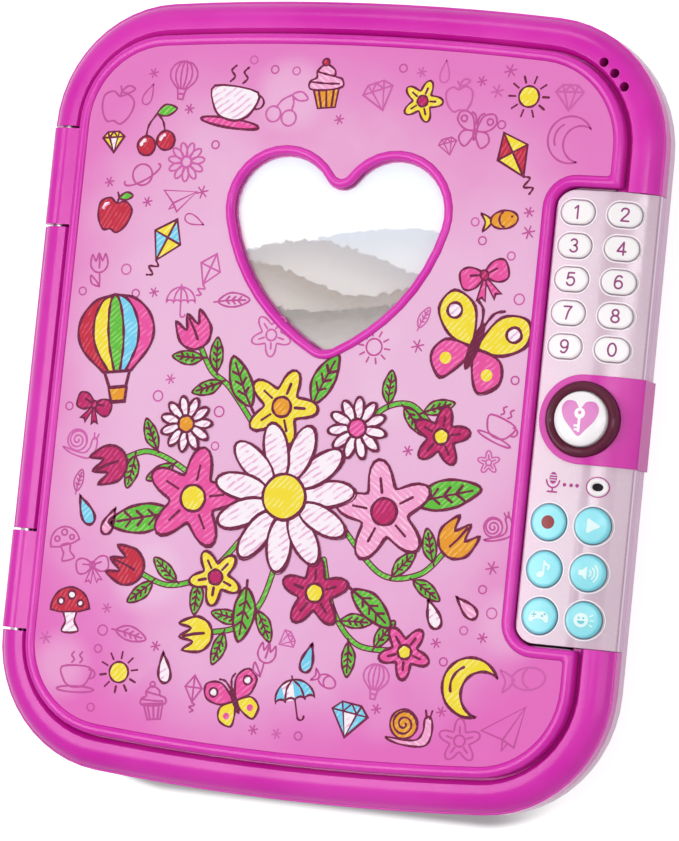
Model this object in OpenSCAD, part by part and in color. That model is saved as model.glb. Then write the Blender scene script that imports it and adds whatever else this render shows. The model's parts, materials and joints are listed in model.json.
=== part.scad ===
// Electronic secret diary: a notepad case with a picture lid on a spine hinge,
// a pearl keypad housing down one side and a band with a round lock button.
// The case lies on its back: +X to the keypad side, +Y to the top, +Z out of the lid.
// Millimetres throughout.

/* [Case] */
// Width of the case, from the spine to the keypad side
body_w = 214; // [206:1:224]
// Height of the case along the spine, at its middle
body_h = 261; // [254:1:272]
// Corner radius of the case outline
corner_r = 42.5; // [38:0.5:46]
// Rise of the arched top and bottom edges across the width
arch_rise = 6.5; // [4:0.5:9]
// Height of the rear shell
shell_h = 26; // [25:0.5:30]
// Wall of the rear shell
shell_wall = 2.5; // [2:0.1:2.8]
// Floor thickness of the rear shell
shell_floor = 2.5; // [2:0.1:3]
// Height of the upright lip at the top of the rear shell
shell_lip_h = 5; // [4:0.5:7]
// How far the rear shell draws in down to its flat back
foot_inset = 12.2; // [9:0.2:14]
// Height of the top frame above the rear shell
frame_h = 10; // [9:0.5:12]
// Height of the frame's upright side below its shoulder
frame_side_h = 5.7; // [4.5:0.1:6.2]
// Width of the rounded shoulder of the frame
shoulder_w = 7.4; // [6:0.1:8]
// Chamfer round the inner edge of the frame
frame_chamfer = 1.5; // [1:0.1:1.7]

/* [Lid] */
// Distance from the case outline to the lid's edge
lid_inset = 11.75; // [11:0.05:12.5]
// Gap round the lid
lid_gap = 0.75; // [0.5:0.05:1]
// Width of the raised rim round the printed panel
rim_w = 3.5; // [3:0.1:4]
// Height of the rim's crest above the frame
rim_proud = 3; // [2.5:0.1:3.5]
// Depth of the lid's edge below the frame's top
lid_sink = 3; // [2.5:0.1:3.3]
// Gap between the keypad housing and the lid's notch, along the housing
notch_gap = 0.6; // [0.4:0.05:1]
// Gap between the keypad housing and the lid's notch, at the housing's ends
notch_end_gap = 1; // [0.6:0.1:1.6]
// Corner radius inside the keypad notch
notch_r = 7.3; // [5:0.1:9]
// Thickness of the printed panel
print_t = 1.2; // [0.8:0.1:1.5]
// Thickness of the lid's top skin below the printed panel
skin_t = 1.6; // [1.2:0.1:1.8]
// Thickness of the inner lid liner
liner_t = 1.3; // [1:0.1:1.4]
// Slack between pieces that drop into one another
fit_gap = 0.1; // [0.05:0.05:0.15]

/* [Photo window] */
// Middle of the heart window across the lid
heart_x = 0.5; // [-3:0.5:3]
// Distance from the top of the case to the lobe centres of the heart
heart_in = 69.3; // [66:0.1:72]
// Half distance between the lobe centres
lobe_x = 19.3; // [18:0.1:20]
// Radius of the heart's lobes
lobe_r = 20.3; // [19.8:0.1:21]
// Depth of the heart's top notch above the lobe centres
heart_dip = 10.1; // [8:0.1:12]
// Width of the rim round the heart
heart_rim_w = 2.8; // [2.4:0.1:3.2]
// Height of the heart's rim above the printed panel
heart_rim_h = 1.1; // [0.8:0.1:1.5]
// Radius of the heart's tip
tip_heart_r = 9; // [7:0.5:11]
// Thickness of the clear window
window_t = 0.8; // [0.6:0.1:0.9]
// How far the photo card reaches past the heart on every side
card_lap = 2.4; // [1.5:0.1:4]

/* [Hinge] */
// Diameter of the hinge pins
pin_d = 3; // [2.5:0.1:3.2]
// Running clearance between pin and lid knuckle, on the radius
pin_clear = 0.05; // [0.02:0.01:0.1]
// Distance of the hinge axis from the spine face
pin_inset = 5.2; // [5:0.05:5.4]
// Depth of the hinge axis below the frame's top
pin_depth = 4.7; // [4.5:0.05:4.9]
// Radius of the lid's knuckle barrels
barrel_r = 5; // [4.5:0.05:5.1]
// Distance from the middle to the near end of each lid knuckle
knuckle_near = 51.5; // [48:0.5:54]
// Distance from the middle to the far end of each lid knuckle
knuckle_far = 84; // [80:0.5:84]
// Slit at each end of a knuckle
knuckle_slit = 0.8; // [0.6:0.05:1]
// How far each pin runs into the case on both sides of a knuckle
pin_grip = 7; // [5:0.5:8]

/* [Keypad] */
// Width of the keypad housing, from its left face to the side of the case
panel_w = 32.7; // [32.2:0.1:33.5]
// Half height of the keypad housing
panel_y = 72.2; // [71.4:0.1:73.4]
// Height of the keypad face above the frame
panel_proud = 0.8; // [0.5:0.1:1.2]
// Thickness of the keypad face
panel_t = 2; // [1.6:0.1:2.2]
// Wall of the keypad housing
panel_wall = 1.2; // [1:0.1:1.3]
// Width of the part of the keypad face that curves down to the side
curve_w = 16; // [14.5:0.5:17]
// Length of a number key
key_l = 11; // [10.4:0.1:11.2]
// Width of a number key
key_w = 7.6; // [7:0.1:7.8]
// Height of a key above the keypad face
key_proud = 0.9; // [0.6:0.1:1.4]
// Distance from the side of the case to the left column of keys
key_in1 = 25.2; // [24.8:0.1:25.3]
// Distance from the side of the case to the right column of keys
key_in2 = 9.8; // [9.4:0.1:10.4]
// Middle of the top row of keys
key_y = 65; // [64:0.1:66]
// Pitch of the key rows
key_pitch = 10.72; // [10.5:0.01:10.8]
// Travel of a key or round button
key_travel = 1; // [0.6:0.1:1]
// Gap round each key and button
key_gap = 0.15; // [0.1:0.05:0.2]
// Diameter of a round button
button_d = 11.5; // [11:0.1:11.7]
// Distance from the side of the case to the left column of round buttons
button_in1 = 24.8; // [24.4:0.1:24.9]
// Distance from the side of the case to the right column of round buttons
button_in2 = 10.4; // [10:0.1:10.8]
// Middle of the top row of round buttons
button_y = -33.7; // [-34:0.1:-33]
// Pitch of the round button rows
button_pitch = 14.85; // [14.4:0.05:15]
// Distance from the side of the case to the microphone hole
mic_in = 10.1; // [9:0.1:12]
// Middle of the microphone hole along the housing
mic_y = -21.4; // [-22:0.1:-21]

/* [Lock] */
// Distance from the side of the case to the middle of the lock button
lock_in = 17; // [16.6:0.1:17.4]
// Middle of the lock button along the housing
lock_y = -0.5; // [-2:0.1:2]
// Radius of the lock button
lock_r = 8.8; // [8.2:0.1:9]
// Outer radius of the ring round the lock button
ring_r = 12; // [11.6:0.1:12.2]
// Height of the lock button above the keypad face
lock_proud = 3.75; // [3:0.05:4.5]
// Height of the ring above the keypad face
ring_proud = 2.5; // [2:0.05:3]
// Travel of the lock button
lock_travel = 1.5; // [1:0.1:1.5]
// Half width of the band across the housing
band_half = 14.2; // [13.6:0.1:14.6]
// How far the band stands proud of the housing
band_proud = 0.9; // [0.6:0.1:1.2]
// Travel of the latch bolt
bolt_travel = 4; // [3:0.1:4]
// Half width of the latch bolt
bolt_half = 5; // [4:0.1:5.2]
// Thickness of the latch bolt
bolt_t = 1.6; // [1.2:0.1:1.8]

/* [Inside] */
// Wall and floor thickness of the tray
tray_t = 1.8; // [1.6:0.1:2]
// Width of the side bin between the notepad well and the keypad
bin_w = 14.4; // [13:0.2:16]
// Gap between the notepad and the sides of its well
pad_gap = 5; // [3:0.5:12]
// Gap between the notepad and the ends of its well
pad_end_gap = 14; // [10:0.5:24]
// Corner radius of the notepad
pad_r = 12; // [8:1:20]
// Thickness of the notepad's block of sheets
pad_t = 6.5; // [4:0.5:7]
// Thickness of the notepad's cover
pad_cover_t = 0.5; // [0.4:0.1:0.6]
// Diameter of a battery
cell_d = 14.5; // [14:0.1:14.5]
// Length of a battery
cell_l = 50.5; // [49:0.5:50.5]
// Number of batteries
cell_count = 4; // [3:1:4]
// Thickness of the battery door
door_t = 1.8; // [1.5:0.1:2]
// Middle of the battery bay across the case
bay_x = -10; // [-16:1:-6]
// Middle of the battery bay along the case
bay_y = -30; // [-36:1:30]
// Diameter of the loudspeaker
speaker_d = 24; // [20:0.5:25]
// Diameter of each sound hole
sound_d = 3.1; // [2.5:0.1:3.4]

/* [Hidden] */
$fn = 48;
eps = 0.02;
half_w = body_w / 2;
half_h = body_h / 2;
// The whole model is moved over by half the band's step to stay centred
centre_x = -band_proud / 2;

// Outline: straight sides, long arched ends and round corners, all concentric
arch_r = (half_w * half_w + arch_rise * arch_rise) / (2 * arch_rise);
arch_cy = half_h - arch_r;
corner_cx = half_w - corner_r;
corner_cy = arch_cy + sqrt(pow(arch_r - corner_r, 2) - pow(corner_cx, 2));
arch_half = asin(corner_cx / (arch_r - corner_r));
corner_n = 12;
arch_n = 10;

function arc_pts(cx, cy, r, a0, a1, n) =
    [for (i = [0:n]) let(a = a0 + (a1 - a0) * i / n) [cx + r * cos(a), cy + r * sin(a)]];
function arch_pts(d) =
    [for (i = [1:arch_n - 1]) let(a = 90 - arch_half + 2 * arch_half * i / arch_n)
        [(arch_r - d) * cos(a), arch_cy + (arch_r - d) * sin(a)]];
// Upper half of the outline, drawn in by d, from the height y on the right
function start_a(d, y) = y > corner_cy ? asin((y - corner_cy) / (corner_r - d)) : 0;
function upper_pts(d, y = 0) = concat(
    arc_pts(corner_cx, corner_cy, corner_r - d, start_a(d, y), 90 - arch_half, corner_n),
    arch_pts(d),
    arc_pts(-corner_cx, corner_cy, corner_r - d, 90 + arch_half, 180, corner_n));
function outline_pts(d, y = 0) = let(u = upper_pts(d, y), n = len(u))
    concat(u, [for (i = [n - 1:-1:0]) [u[i][0], -u[i][1]]]);
// The same outline with the keypad notch cut out of its right side
tip_r = 1.2;
function notched_pts(d, nx, ny, nr) =
    let(side = corner_cx + (corner_r - d) * cos(start_a(d, ny + tip_r))) concat(
    arc_pts(side - tip_r, ny + tip_r, tip_r, -90, -5, 4),
    outline_pts(d, ny + tip_r + 0.1),
    arc_pts(side - tip_r, -ny - tip_r, tip_r, 5, 90, 4),
    arc_pts(nx + nr, -ny + nr, nr, 270, 180, 8),
    arc_pts(nx + nr, ny - nr, nr, 180, 90, 8));
function lid_pts(d) = notched_pts(lid_inset + d, notch_x - d, notch_y + d, notch_r + d);
function lift(pts, z) = [for (p = pts) [p[0], p[1], z]];

// Places across the case, counted in from the keypad side
panel_x = half_w - panel_w;
notch_x = panel_x - notch_gap;
notch_y = panel_y + notch_end_gap;
curve_x = half_w - curve_w;
key_x1 = half_w - key_in1;
key_x2 = half_w - key_in2;
button_x1 = half_w - button_in1;
button_x2 = half_w - button_in2;
mic_x = half_w - mic_in;
lock_x = half_w - lock_in;
heart_y = half_h - heart_in;

// Heights
frame_z = shell_h + frame_h;
ridge_z = shell_h + frame_side_h;
belly_z = shell_h - shell_lip_h;
lid_z = frame_z - lid_sink;
rim_z = frame_z + rim_proud;
panel_z = frame_z + panel_proud;
print_z = rim_z - 0.8;
skin_z = print_z - print_t;
pin_x = -half_w + pin_inset;
pin_z = frame_z - pin_depth;
ledge_gap = 0.3;
ledge_z = lid_z - ledge_gap;
ledge_w = 3;
pocket_inset = lid_inset - lid_gap;
tray_gap = 0.3;
tray_z = ledge_z - tray_gap;
cell_slack = 0.1;
bay_roof_t = 1.1;
tray_under = shell_floor + cell_d + 2 * cell_slack + bay_roof_t + 0.2;
well_z = tray_under + tray_t;

// Shoulder of the frame: [inset, height], from the ridge up to the flat top
shoulder_step = 0.6;
shoulder_n = 6;
shoulder_start = 25;
function shoulder(i) = let(a = shoulder_start + (90 - shoulder_start) * i / shoulder_n)
    [shoulder_step + (shoulder_w - shoulder_step) * (cos(shoulder_start) - cos(a)) / cos(shoulder_start),
     ridge_z + (frame_z - ridge_z) * (sin(a) - sin(shoulder_start)) / (1 - sin(shoulder_start))];
frame_profile = concat([[0, shell_h], [0, ridge_z - 0.25], [0.25, ridge_z]],
    [for (i = [0:shoulder_n]) shoulder(i)]);

// Taper of the rear shell: [inset, height], from the flat back up to the lip
foot_rise = 0.9;
lip_break = 1;
function taper(u) = lip_break + (foot_inset - lip_break) * pow(1 - u, 1.15);
function taper_z(u) = foot_rise + (belly_z - lip_break - foot_rise) * u;
shell_profile = concat([[foot_inset + 1.8, 0]], [for (u = [0:0.25:1]) [taper(u), taper_z(u)]],
    [[0, belly_z], [0, shell_h]]);
floor_u = (shell_floor - foot_rise) / (belly_z - lip_break - foot_rise);
cavity_profile = concat(
    [for (i = [0:3]) let(u = floor_u + (1 - floor_u) * i / 3) [taper(u) + shell_wall * 1.2, taper_z(u)]],
    [[shell_wall, belly_z + 0.5], [shell_wall, shell_h + 1]]);

// Keypad face: flat, then an arc down to the ridge on the right
curve_run = curve_w - 0.5;
panel_side = 2;
curve_drop = panel_z - ridge_z - 0.2;
curve_r = (curve_run * curve_run + curve_drop * curve_drop) / (2 * curve_drop);
function face_z(x) = x <= curve_x ? panel_z
    : panel_z - curve_r + sqrt(curve_r * curve_r - (x - curve_x) * (x - curve_x));
function face_tilt(x) = x <= curve_x ? 0 : asin((x - curve_x) / curve_r);
// How far below the face's underside a flat flange of half length h starts
function flange_drop(x, h) = x <= curve_x ? 0
    : curve_r - panel_t - sqrt(pow(curve_r - panel_t, 2) - h * h);

// Hinge knuckles, each as [near end, far end] along Y
knuckles = [[knuckle_near, knuckle_far], [-knuckle_far, -knuckle_near]];

// Lock, bolt and boards
lock_gap = 0.3;
ring_sink = 2.8;
lock_flange = 1;
lock_flange_t = 0.8;
bolt_z = pin_z - 1.8;
bolt_gap = 0.2;
tray_notch_x = panel_x - tray_gap;
bin_x = tray_notch_x - tray_t;
well_x = bin_x - bin_w - tray_t;
motor_h = 8;
bolt_x0 = bin_x + 0.1;
motor_top = bolt_z - bolt_gap;
board_z = shell_h + 0.6;
board_t = 1.6;
mat_t = 1.2;
mat_z = board_z + board_t;
post_r = 1.1;
post_x = (key_x1 + key_x2) / 2;
post_ys = [key_y - key_pitch / 2, key_y - 3.5 * key_pitch, button_y - button_pitch / 2,
    button_y - 1.5 * button_pitch];
flange_t = 0.8;
flange_ext = 0.5;
hole_flare = 0.3;

// Loudspeaker in the top right corner, and the three holes over it
speaker_a = 45;
speaker_off = corner_r - speaker_d / 2 - 11.4;
speaker_x = corner_cx + speaker_off * cos(speaker_a);
speaker_y = corner_cy + speaker_off * sin(speaker_a);
speaker_h = 5;
speaker_z = shell_h - 0.5 - speaker_h;
speaker_rim = 1.5;
sound_r = corner_r - shoulder_w - 0.4;
sound_as = [53.5, 45, 35.8];

// Screw posts under the tray: [x, y]
screw_in = 29;
screw_end = 45.5;
screw_pts = [[-half_w + screw_in, half_h - screw_end], [-half_w + screw_in, 0],
    [-half_w + screw_in, screw_end - half_h], [well_x - 8, half_h - screw_end + 7],
    [bin_x - bin_w / 2, 0], [well_x - 8, screw_end - 7 - half_h]];
screw_r = 1.5;
screw_head_r = 3;
screw_head_t = 2;
screw_seat = 4;
screw_l = 11;
boss_r = 4.5;
post_bottom = 8;

// Battery bay: cells side by side, plate contacts at one end and springs at the other
cell_pitch = cell_d + 0.5;
cell_z = shell_floor + cell_slack + cell_d / 2;
nub_l = 1;
contact_w = 9;
plate_t = 0.6;
spring_l = 4.6;
bay_w = cell_count * cell_pitch + 1;
bay_l = cell_l + spring_l + 2 * plate_t + 0.2;
bay_wall = 1.6;
bay_x0 = bay_x - bay_w / 2;
bay_x1 = bay_x + bay_w / 2;
bay_y0 = bay_y - bay_l / 2;
bay_y1 = bay_y + bay_l / 2;
door_lip = 1.2;
door_gap = 0.2;
door_ear = 10;
tongue_w = 8;
tongue_l = 3;
tongue_t = 1.2;

module placed() {
    translate([centre_x, 0, 0]) children();
}

// Solid through a stack of outlines with equal point counts
module loft(rings) {
    n = len(rings[0]);
    m = len(rings);
    points = [for (r = rings) for (p = r) p];
    faces = concat([[for (i = [0:n - 1]) i]],
        [[for (i = [n - 1:-1:0]) (m - 1) * n + i]],
        [for (k = [0:m - 2]) for (i = [0:n - 1])
            [k * n + i, (k + 1) * n + i, (k + 1) * n + (i + 1) % n, k * n + (i + 1) % n]]);
    polyhedron(points, faces, convexity = 6);
}

// Closed ring swept round an outline; the last section joins the first
module ring_loft(rings) {
    n = len(rings[0]);
    m = len(rings);
    points = [for (r = rings) for (p = r) p];
    faces = [for (k = [0:m - 1]) for (i = [0:n - 1])
        [k * n + i, ((k + 1) % m) * n + i, ((k + 1) % m) * n + (i + 1) % n, k * n + (i + 1) % n]];
    polyhedron(points, faces, convexity = 6);
}

module slab(pts, z0, z1) {
    translate([0, 0, z0]) linear_extrude(z1 - z0) polygon(pts);
}

module box(x0, x1, y0, y1, z0, z1) {
    translate([x0, y0, z0]) cube([x1 - x0, y1 - y0, z1 - z0]);
}

// A profile in X and Z, drawn out along Y between y0 and y1
module along_y(pts, y0, y1) {
    translate([0, y1, 0]) rotate([90, 0, 0]) linear_extrude(y1 - y0) polygon(pts);
}

module rod_y(x, z, r, y0, y1) {
    translate([x, y1, z]) rotate([90, 0, 0]) cylinder(r = r, h = y1 - y0);
}

module stadium(l, w, h) {
    linear_extrude(h) union() {
        square([l - w, w], center = true);
        translate([-(l - w) / 2, 0]) circle(d = w);
        translate([(l - w) / 2, 0]) circle(d = w);
    }
}

// Stadium cap with a rounded top edge, from z = 0 up to h
module soft_stadium(l, w, h, e) {
    half = [[0, 0], [w / 2, 0], [w / 2, h - e], [w / 2 - 0.3 * e, h - 0.3 * e], [w / 2 - e, h],
        [0, h]];
    both = concat(half, [[-(w / 2 - e), h], [-(w / 2 - 0.3 * e), h - 0.3 * e], [-w / 2, h - e],
        [-w / 2, 0]]);
    rotate([90, 0, 90]) linear_extrude(l - w, center = true) polygon(both);
    for (s = [-1, 1]) translate([s * (l - w) / 2, 0, 0]) rotate_extrude() polygon(half);
}

// Stand on the keypad face at x, y, square to it
module on_face(x, y) {
    translate([x, y, face_z(x)]) rotate([0, face_tilt(x), 0]) children();
}

// Section of the keypad housing in X and Z, grown by g
function housing_pts(g, z0) = let(r = curve_r + g, x1 = half_w + g)
    concat([[panel_x - g, z0], [panel_x - g, panel_z - 0.6], [panel_x - g + 0.6, panel_z + g]],
        [for (i = [0:10]) let(a = 90 - i / 10 * asin(curve_run / curve_r))
            [curve_x + r * cos(a), panel_z - curve_r + r * sin(a)]],
        [[x1, ridge_z - 0.1], [x1, z0]]);

// Heart outline drawn in by d: lobe, two side arcs and a round tip per half
side_a1 = -14;
side_a2 = -47;
side_a3 = -62;
flank_r = 78;
flank_in = (lobe_x + lobe_r * cos(side_a1) - flank_r * cos(side_a2)
    + (flank_r - tip_heart_r) * cos(side_a3)) / (cos(side_a1) - cos(side_a2));
dip_r = (lobe_x * lobe_x + heart_dip * heart_dip - lobe_r * lobe_r) / (2 * (lobe_r - heart_dip));
dip_cy = heart_dip + dip_r;
dip_a = atan2(dip_cy, -lobe_x);
side_c = [lobe_x + (lobe_r - flank_in) * cos(side_a1), (lobe_r - flank_in) * sin(side_a1)];
flank_c = side_c + (flank_in - flank_r) * [cos(side_a2), sin(side_a2)];
tip_c = flank_c + (flank_r - tip_heart_r) * [cos(side_a3), sin(side_a3)];
heart_low = tip_c[1] - tip_heart_r;
card_w = 2 * (lobe_x + lobe_r + card_lap);
card_h = lobe_r - heart_low + 2 * card_lap;
card_y = heart_y + (lobe_r + heart_low) / 2;
card_edge = 1.8;
function heart_half(d) = concat(
    arc_pts(0, dip_cy, dip_r + d, 270, 180 + dip_a, 4),
    [for (i = [1:14]) let(a = dip_a + (side_a1 - dip_a) * i / 14)
        [lobe_x + (lobe_r - d) * cos(a), (lobe_r - d) * sin(a)]],
    [for (i = [1:5]) let(a = side_a1 + (side_a2 - side_a1) * i / 5)
        side_c + (flank_in - d) * [cos(a), sin(a)]],
    [for (i = [1:3]) let(a = side_a2 + (side_a3 - side_a2) * i / 3)
        flank_c + (flank_r - d) * [cos(a), sin(a)]],
    [for (i = [1:4]) let(a = side_a3 + (-90 - side_a3) * i / 4)
        tip_c + (tip_heart_r - d) * [cos(a), sin(a)]]);
function heart_pts(d) = let(h = heart_half(d), n = len(h))
    [for (i = [n - 1:-1:0]) [heart_x + h[i][0], heart_y + h[i][1]]];
function heart_all(d) = let(r = heart_pts(d), n = len(r), c = 2 * heart_x)
    concat(r, [for (i = [n - 2:-1:1]) [c - r[i][0], r[i][1]]]);

module back_shell() {
    color("#ead9ea") placed() difference() {
        union() {
            difference() {
                loft([for (p = shell_profile) lift(outline_pts(p[0]), p[1])]);
                loft([for (p = cavity_profile) lift(outline_pts(p[0]), p[1])]);
            }
            for (p = screw_pts) translate([p[0], p[1], shell_floor - eps])
                cylinder(r = boss_r, h = post_bottom - shell_floor + eps);
            // Roofed box round the battery bay
            box(bay_x0 - bay_wall, bay_x1 + bay_wall, bay_y0 - bay_wall, bay_y1 + bay_wall,
                shell_floor - eps, cell_z + cell_d / 2 + cell_slack + bay_roof_t);
            // Boss for the door's screw
            translate([bay_x, bay_y1 + door_ear / 2 + door_lip, shell_floor - eps])
                cylinder(r = boss_r - 1, h = post_bottom - shell_floor);
            // Stand for the latch motor, ribbed
            for (y = [-5, -1, 3]) box(panel_x + 4, lock_x + 2, lock_y + y, lock_y + y + 2,
                shell_floor - eps, motor_top - motor_h);
            // Stepped ring that holds the loudspeaker, on four ribs
            translate([speaker_x, speaker_y, speaker_z - speaker_rim]) difference() {
                cylinder(r = speaker_d / 2 + speaker_rim, h = speaker_rim + 1.4);
                translate([0, 0, -1]) cylinder(r = speaker_d / 2 - speaker_rim, h = speaker_rim + 4);
                translate([0, 0, speaker_rim]) cylinder(r = speaker_d / 2 + fit_gap, h = 4);
            }
            difference() {
                for (a = [45, 135]) translate([speaker_x, speaker_y, shell_floor - eps]) rotate(a)
                    translate([-speaker_d / 2 - speaker_rim + 0.3, -1, 0]) cube([speaker_d
                        + 2 * speaker_rim - 0.6, 2, speaker_z - shell_floor - speaker_rim + 2 * eps]);
                translate([speaker_x, speaker_y, shell_floor + eps])
                    cylinder(r = speaker_d / 2 - speaker_rim, h = shell_h);
            }
        }
        for (p = screw_pts) translate([p[0], p[1], -1]) {
            cylinder(r = screw_r + 0.2, h = post_bottom + 2);
            cylinder(r = screw_head_r + 0.3, h = screw_seat + 1);
        }
        // Battery bay, open through the floor
        box(bay_x0, bay_x1, bay_y0, bay_y1, shell_floor, cell_z + cell_d / 2 + cell_slack);
        box(bay_x0 + door_lip, bay_x1 - door_lip, bay_y0 + door_lip, bay_y1 - door_lip,
            -1, shell_floor + 1);
        // Pocket that takes the door flush with the back, slots for its tongues, and its screw
        box(bay_x0 - door_lip, bay_x1 + door_lip, bay_y0 - door_lip, bay_y1 + door_lip + door_ear,
            -1, door_t);
        for (s = [-1, 1]) box(bay_x + s * bay_w / 4 - tongue_w / 2 - door_gap,
            bay_x + s * bay_w / 4 + tongue_w / 2 + door_gap, bay_y0 - bay_wall - 1, bay_y0 + 1,
            shell_floor, shell_floor + tongue_t + 2 * door_gap);
        translate([bay_x, bay_y1 + door_ear / 2 + door_lip, -1])
            cylinder(r = screw_r - 0.4, h = post_bottom);
    }
}

module top_frame() {
    color("#d93fae") placed() difference() {
        union() {
            loft([for (p = frame_profile) lift(outline_pts(p[0]), p[1])]);
            // Lip that drops inside the rear shell
            difference() {
                slab(outline_pts(shell_wall + 0.3), shell_h - 3.5, shell_h + 1);
                slab(outline_pts(shell_wall + 2.3), shell_h - 4, shell_h + 2);
            }
        }
        slab(outline_pts(pocket_inset), ledge_z, frame_z + 1);
        slab(outline_pts(pocket_inset + ledge_w), shell_h - 1, frame_z);
        loft([lift(outline_pts(pocket_inset + 0.1), frame_z - frame_chamfer * 4 / 3 - 0.1),
            lift(outline_pts(pocket_inset - frame_chamfer - 0.1), frame_z + 0.15)]);
        // Room for the keypad housing
        box(notch_x - 1, half_w + 1, -panel_y - 0.15, panel_y + 0.15, shell_h, frame_z + 1);
        // Room for the lid's knuckles
        for (k = knuckles) box(-half_w - 1, -half_w + pocket_inset + ledge_w + 1, k[0] - knuckle_slit,
            k[1] + knuckle_slit, shell_h, frame_z + 1);
        for (k = knuckles) rod_y(pin_x, pin_z, pin_d / 2, k[0] - knuckle_slit - pin_grip,
            k[1] + knuckle_slit + pin_grip);
        for (a = sound_as) translate([corner_cx + sound_r * cos(a), corner_cy + sound_r * sin(a),
            shell_h - 1]) cylinder(d = sound_d, h = frame_h + 2);
    }
}

function tray_pts(d) = notched_pts(pocket_inset + ledge_w + tray_gap + d, tray_notch_x - d,
    panel_y + 0.7 + d, 4 + d);

module inner_tray() {
    color("#f3c6e3") placed() difference() {
        union() {
            slab(tray_pts(0), tray_under, tray_z);
            for (p = screw_pts) translate([p[0], p[1], post_bottom])
                cylinder(r = boss_r - 0.9, h = tray_under - post_bottom + 0.5);
        }
        // Well for the notepad, side bin and lower bin
        translate([0, 0, well_z]) linear_extrude(tray_z) intersection() {
            polygon(tray_pts(tray_t));
            union() {
                translate([-half_w, -half_h]) square([half_w + well_x, body_h]);
                translate([well_x + tray_t, -panel_y + 1])
                    square([bin_x - well_x - tray_t, 2 * panel_y - 2]);
                translate([well_x + tray_t, -half_h]) square([half_w, half_h - panel_y - 1.2]);
            }
        }
        // Hollow under the closed top corner, over the loudspeaker
        translate([0, 0, tray_under - 1]) linear_extrude(tray_z - tray_t - tray_under + 1)
            intersection() {
                translate([well_x + tray_t, panel_y + 1]) square([half_w, half_h]);
                polygon(outline_pts(pocket_inset));
            }
        for (p = screw_pts) translate([p[0], p[1], post_bottom - 1])
            cylinder(r = screw_r, h = screw_seat + screw_l - post_bottom + 1.5);
        // Slot for the bolt
        box(bin_x - 1, panel_x + 1, lock_y - bolt_half - bolt_gap, lock_y + bolt_half + bolt_gap,
            bolt_z - bolt_gap, bolt_z + bolt_t + bolt_gap);
    }
}

// Stadium that widens by f on every side over its height h
module flared_stadium(l, w, h, f) {
    rotate([90, 0, 90]) linear_extrude(l - w, center = true)
        polygon([[-w / 2, 0], [w / 2, 0], [w / 2 + f, h], [-w / 2 - f, h]]);
    for (s = [-1, 1]) translate([s * (l - w) / 2, 0, 0]) cylinder(d1 = w, d2 = w + 2 * f, h = h);
}

module key_hole(x, y) {
    on_face(x, y) {
        translate([0, 0, -panel_t - 2]) stadium(key_l + 2 * key_gap, key_w + 2 * key_gap, panel_t + 4);
        translate([0, 0, -hole_flare]) flared_stadium(key_l + 2 * key_gap, key_w + 2 * key_gap,
            2 * hole_flare, 2 * hole_flare);
    }
}

module button_hole(x, y) {
    on_face(x, y) {
        translate([0, 0, -panel_t - 2]) cylinder(d = button_d + 2 * key_gap, h = panel_t + 4);
        translate([0, 0, -hole_flare]) cylinder(d1 = button_d + 2 * key_gap,
            d2 = button_d + 2 * key_gap + 4 * hole_flare, h = 2 * hole_flare);
    }
}

// Plan of the keypad housing drawn in by d, with the lid side's corners rounded
module housing_plan(d, z0, z1) {
    r = notch_r - notch_gap - d;
    translate([0, 0, z0]) linear_extrude(z1 - z0) union() {
        translate([panel_x + d + r, -panel_y + d]) square([panel_w, 2 * (panel_y - d)]);
        translate([panel_x + d, -panel_y + d + r]) square([panel_w, 2 * (panel_y - d - r)]);
        for (s = [-1, 1]) translate([panel_x + d + r, s * (panel_y - d - r)]) circle(r = r);
    }
}

module keypad_panel() {
    color("#e6d4e2") placed() difference() {
        union() {
            difference() {
                intersection() {
                    along_y(housing_pts(0, shell_h), -panel_y, panel_y);
                    housing_plan(0, shell_h - 1, frame_z + panel_proud + 1);
                }
                intersection() {
                    along_y(concat([[panel_x, shell_h - 1], [panel_x, panel_z - panel_t]],
                        arc_pts(curve_x, panel_z - curve_r, curve_r - panel_t, 90,
                            90 - asin((curve_w - panel_side) / (curve_r - panel_t)), 10),
                        [[half_w - panel_side, shell_h - 1]]), -panel_y, panel_y);
                    housing_plan(panel_wall, shell_h - 2, frame_z + panel_proud);
                }
            }
            // Posts that carry the circuit board
            for (y = post_ys) translate([post_x, y, mat_z])
                cylinder(r = post_r, h = panel_z - panel_t / 2 - mat_z);
        }
        for (i = [0:4]) {
            key_hole(key_x1, key_y - i * key_pitch);
            key_hole(key_x2, key_y - i * key_pitch);
        }
        for (i = [0:2]) {
            button_hole(button_x1, button_y - i * button_pitch);
            button_hole(button_x2, button_y - i * button_pitch);
        }
        translate([lock_x, lock_y, shell_h]) cylinder(r = ring_r + fit_gap, h = 20);
        on_face(mic_x, mic_y) translate([0, 0, -panel_t - 1]) stadium(3.4, 2.4, panel_t + 2);
        box(panel_x - 1, panel_x + panel_wall + 1, lock_y - bolt_half - bolt_gap,
            lock_y + bolt_half + bolt_gap, bolt_z - bolt_gap, bolt_z + bolt_t + bolt_gap);
    }
}

module latch_band() {
    color("#d93fae") placed() difference() {
        intersection() {
            along_y(concat([[0, belly_z]], [for (p = housing_pts(band_proud, belly_z)) p]),
                lock_y - band_half, lock_y + band_half);
            union() {
                translate([lock_x, lock_y, 0]) cylinder(r = band_half, h = rim_z, $fn = 96);
                box(lock_x, half_w + 2, lock_y - band_half, lock_y + band_half, 0, rim_z);
            }
        }
        along_y(concat([[0, belly_z - 1], [0, panel_z + 0.04]],
            [for (i = [0:10]) let(r = curve_r + 0.04, a = 90 - i / 10 * asin(curve_run / curve_r))
                [curve_x + r * cos(a), panel_z - curve_r + r * sin(a)]],
            [[half_w + 0.04, ridge_z - 0.1], [half_w + 0.04, belly_z - 1]]),
            -panel_y, panel_y);
        translate([lock_x, lock_y, shell_h]) cylinder(r = ring_r + fit_gap, h = 20);
    }
}

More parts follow.
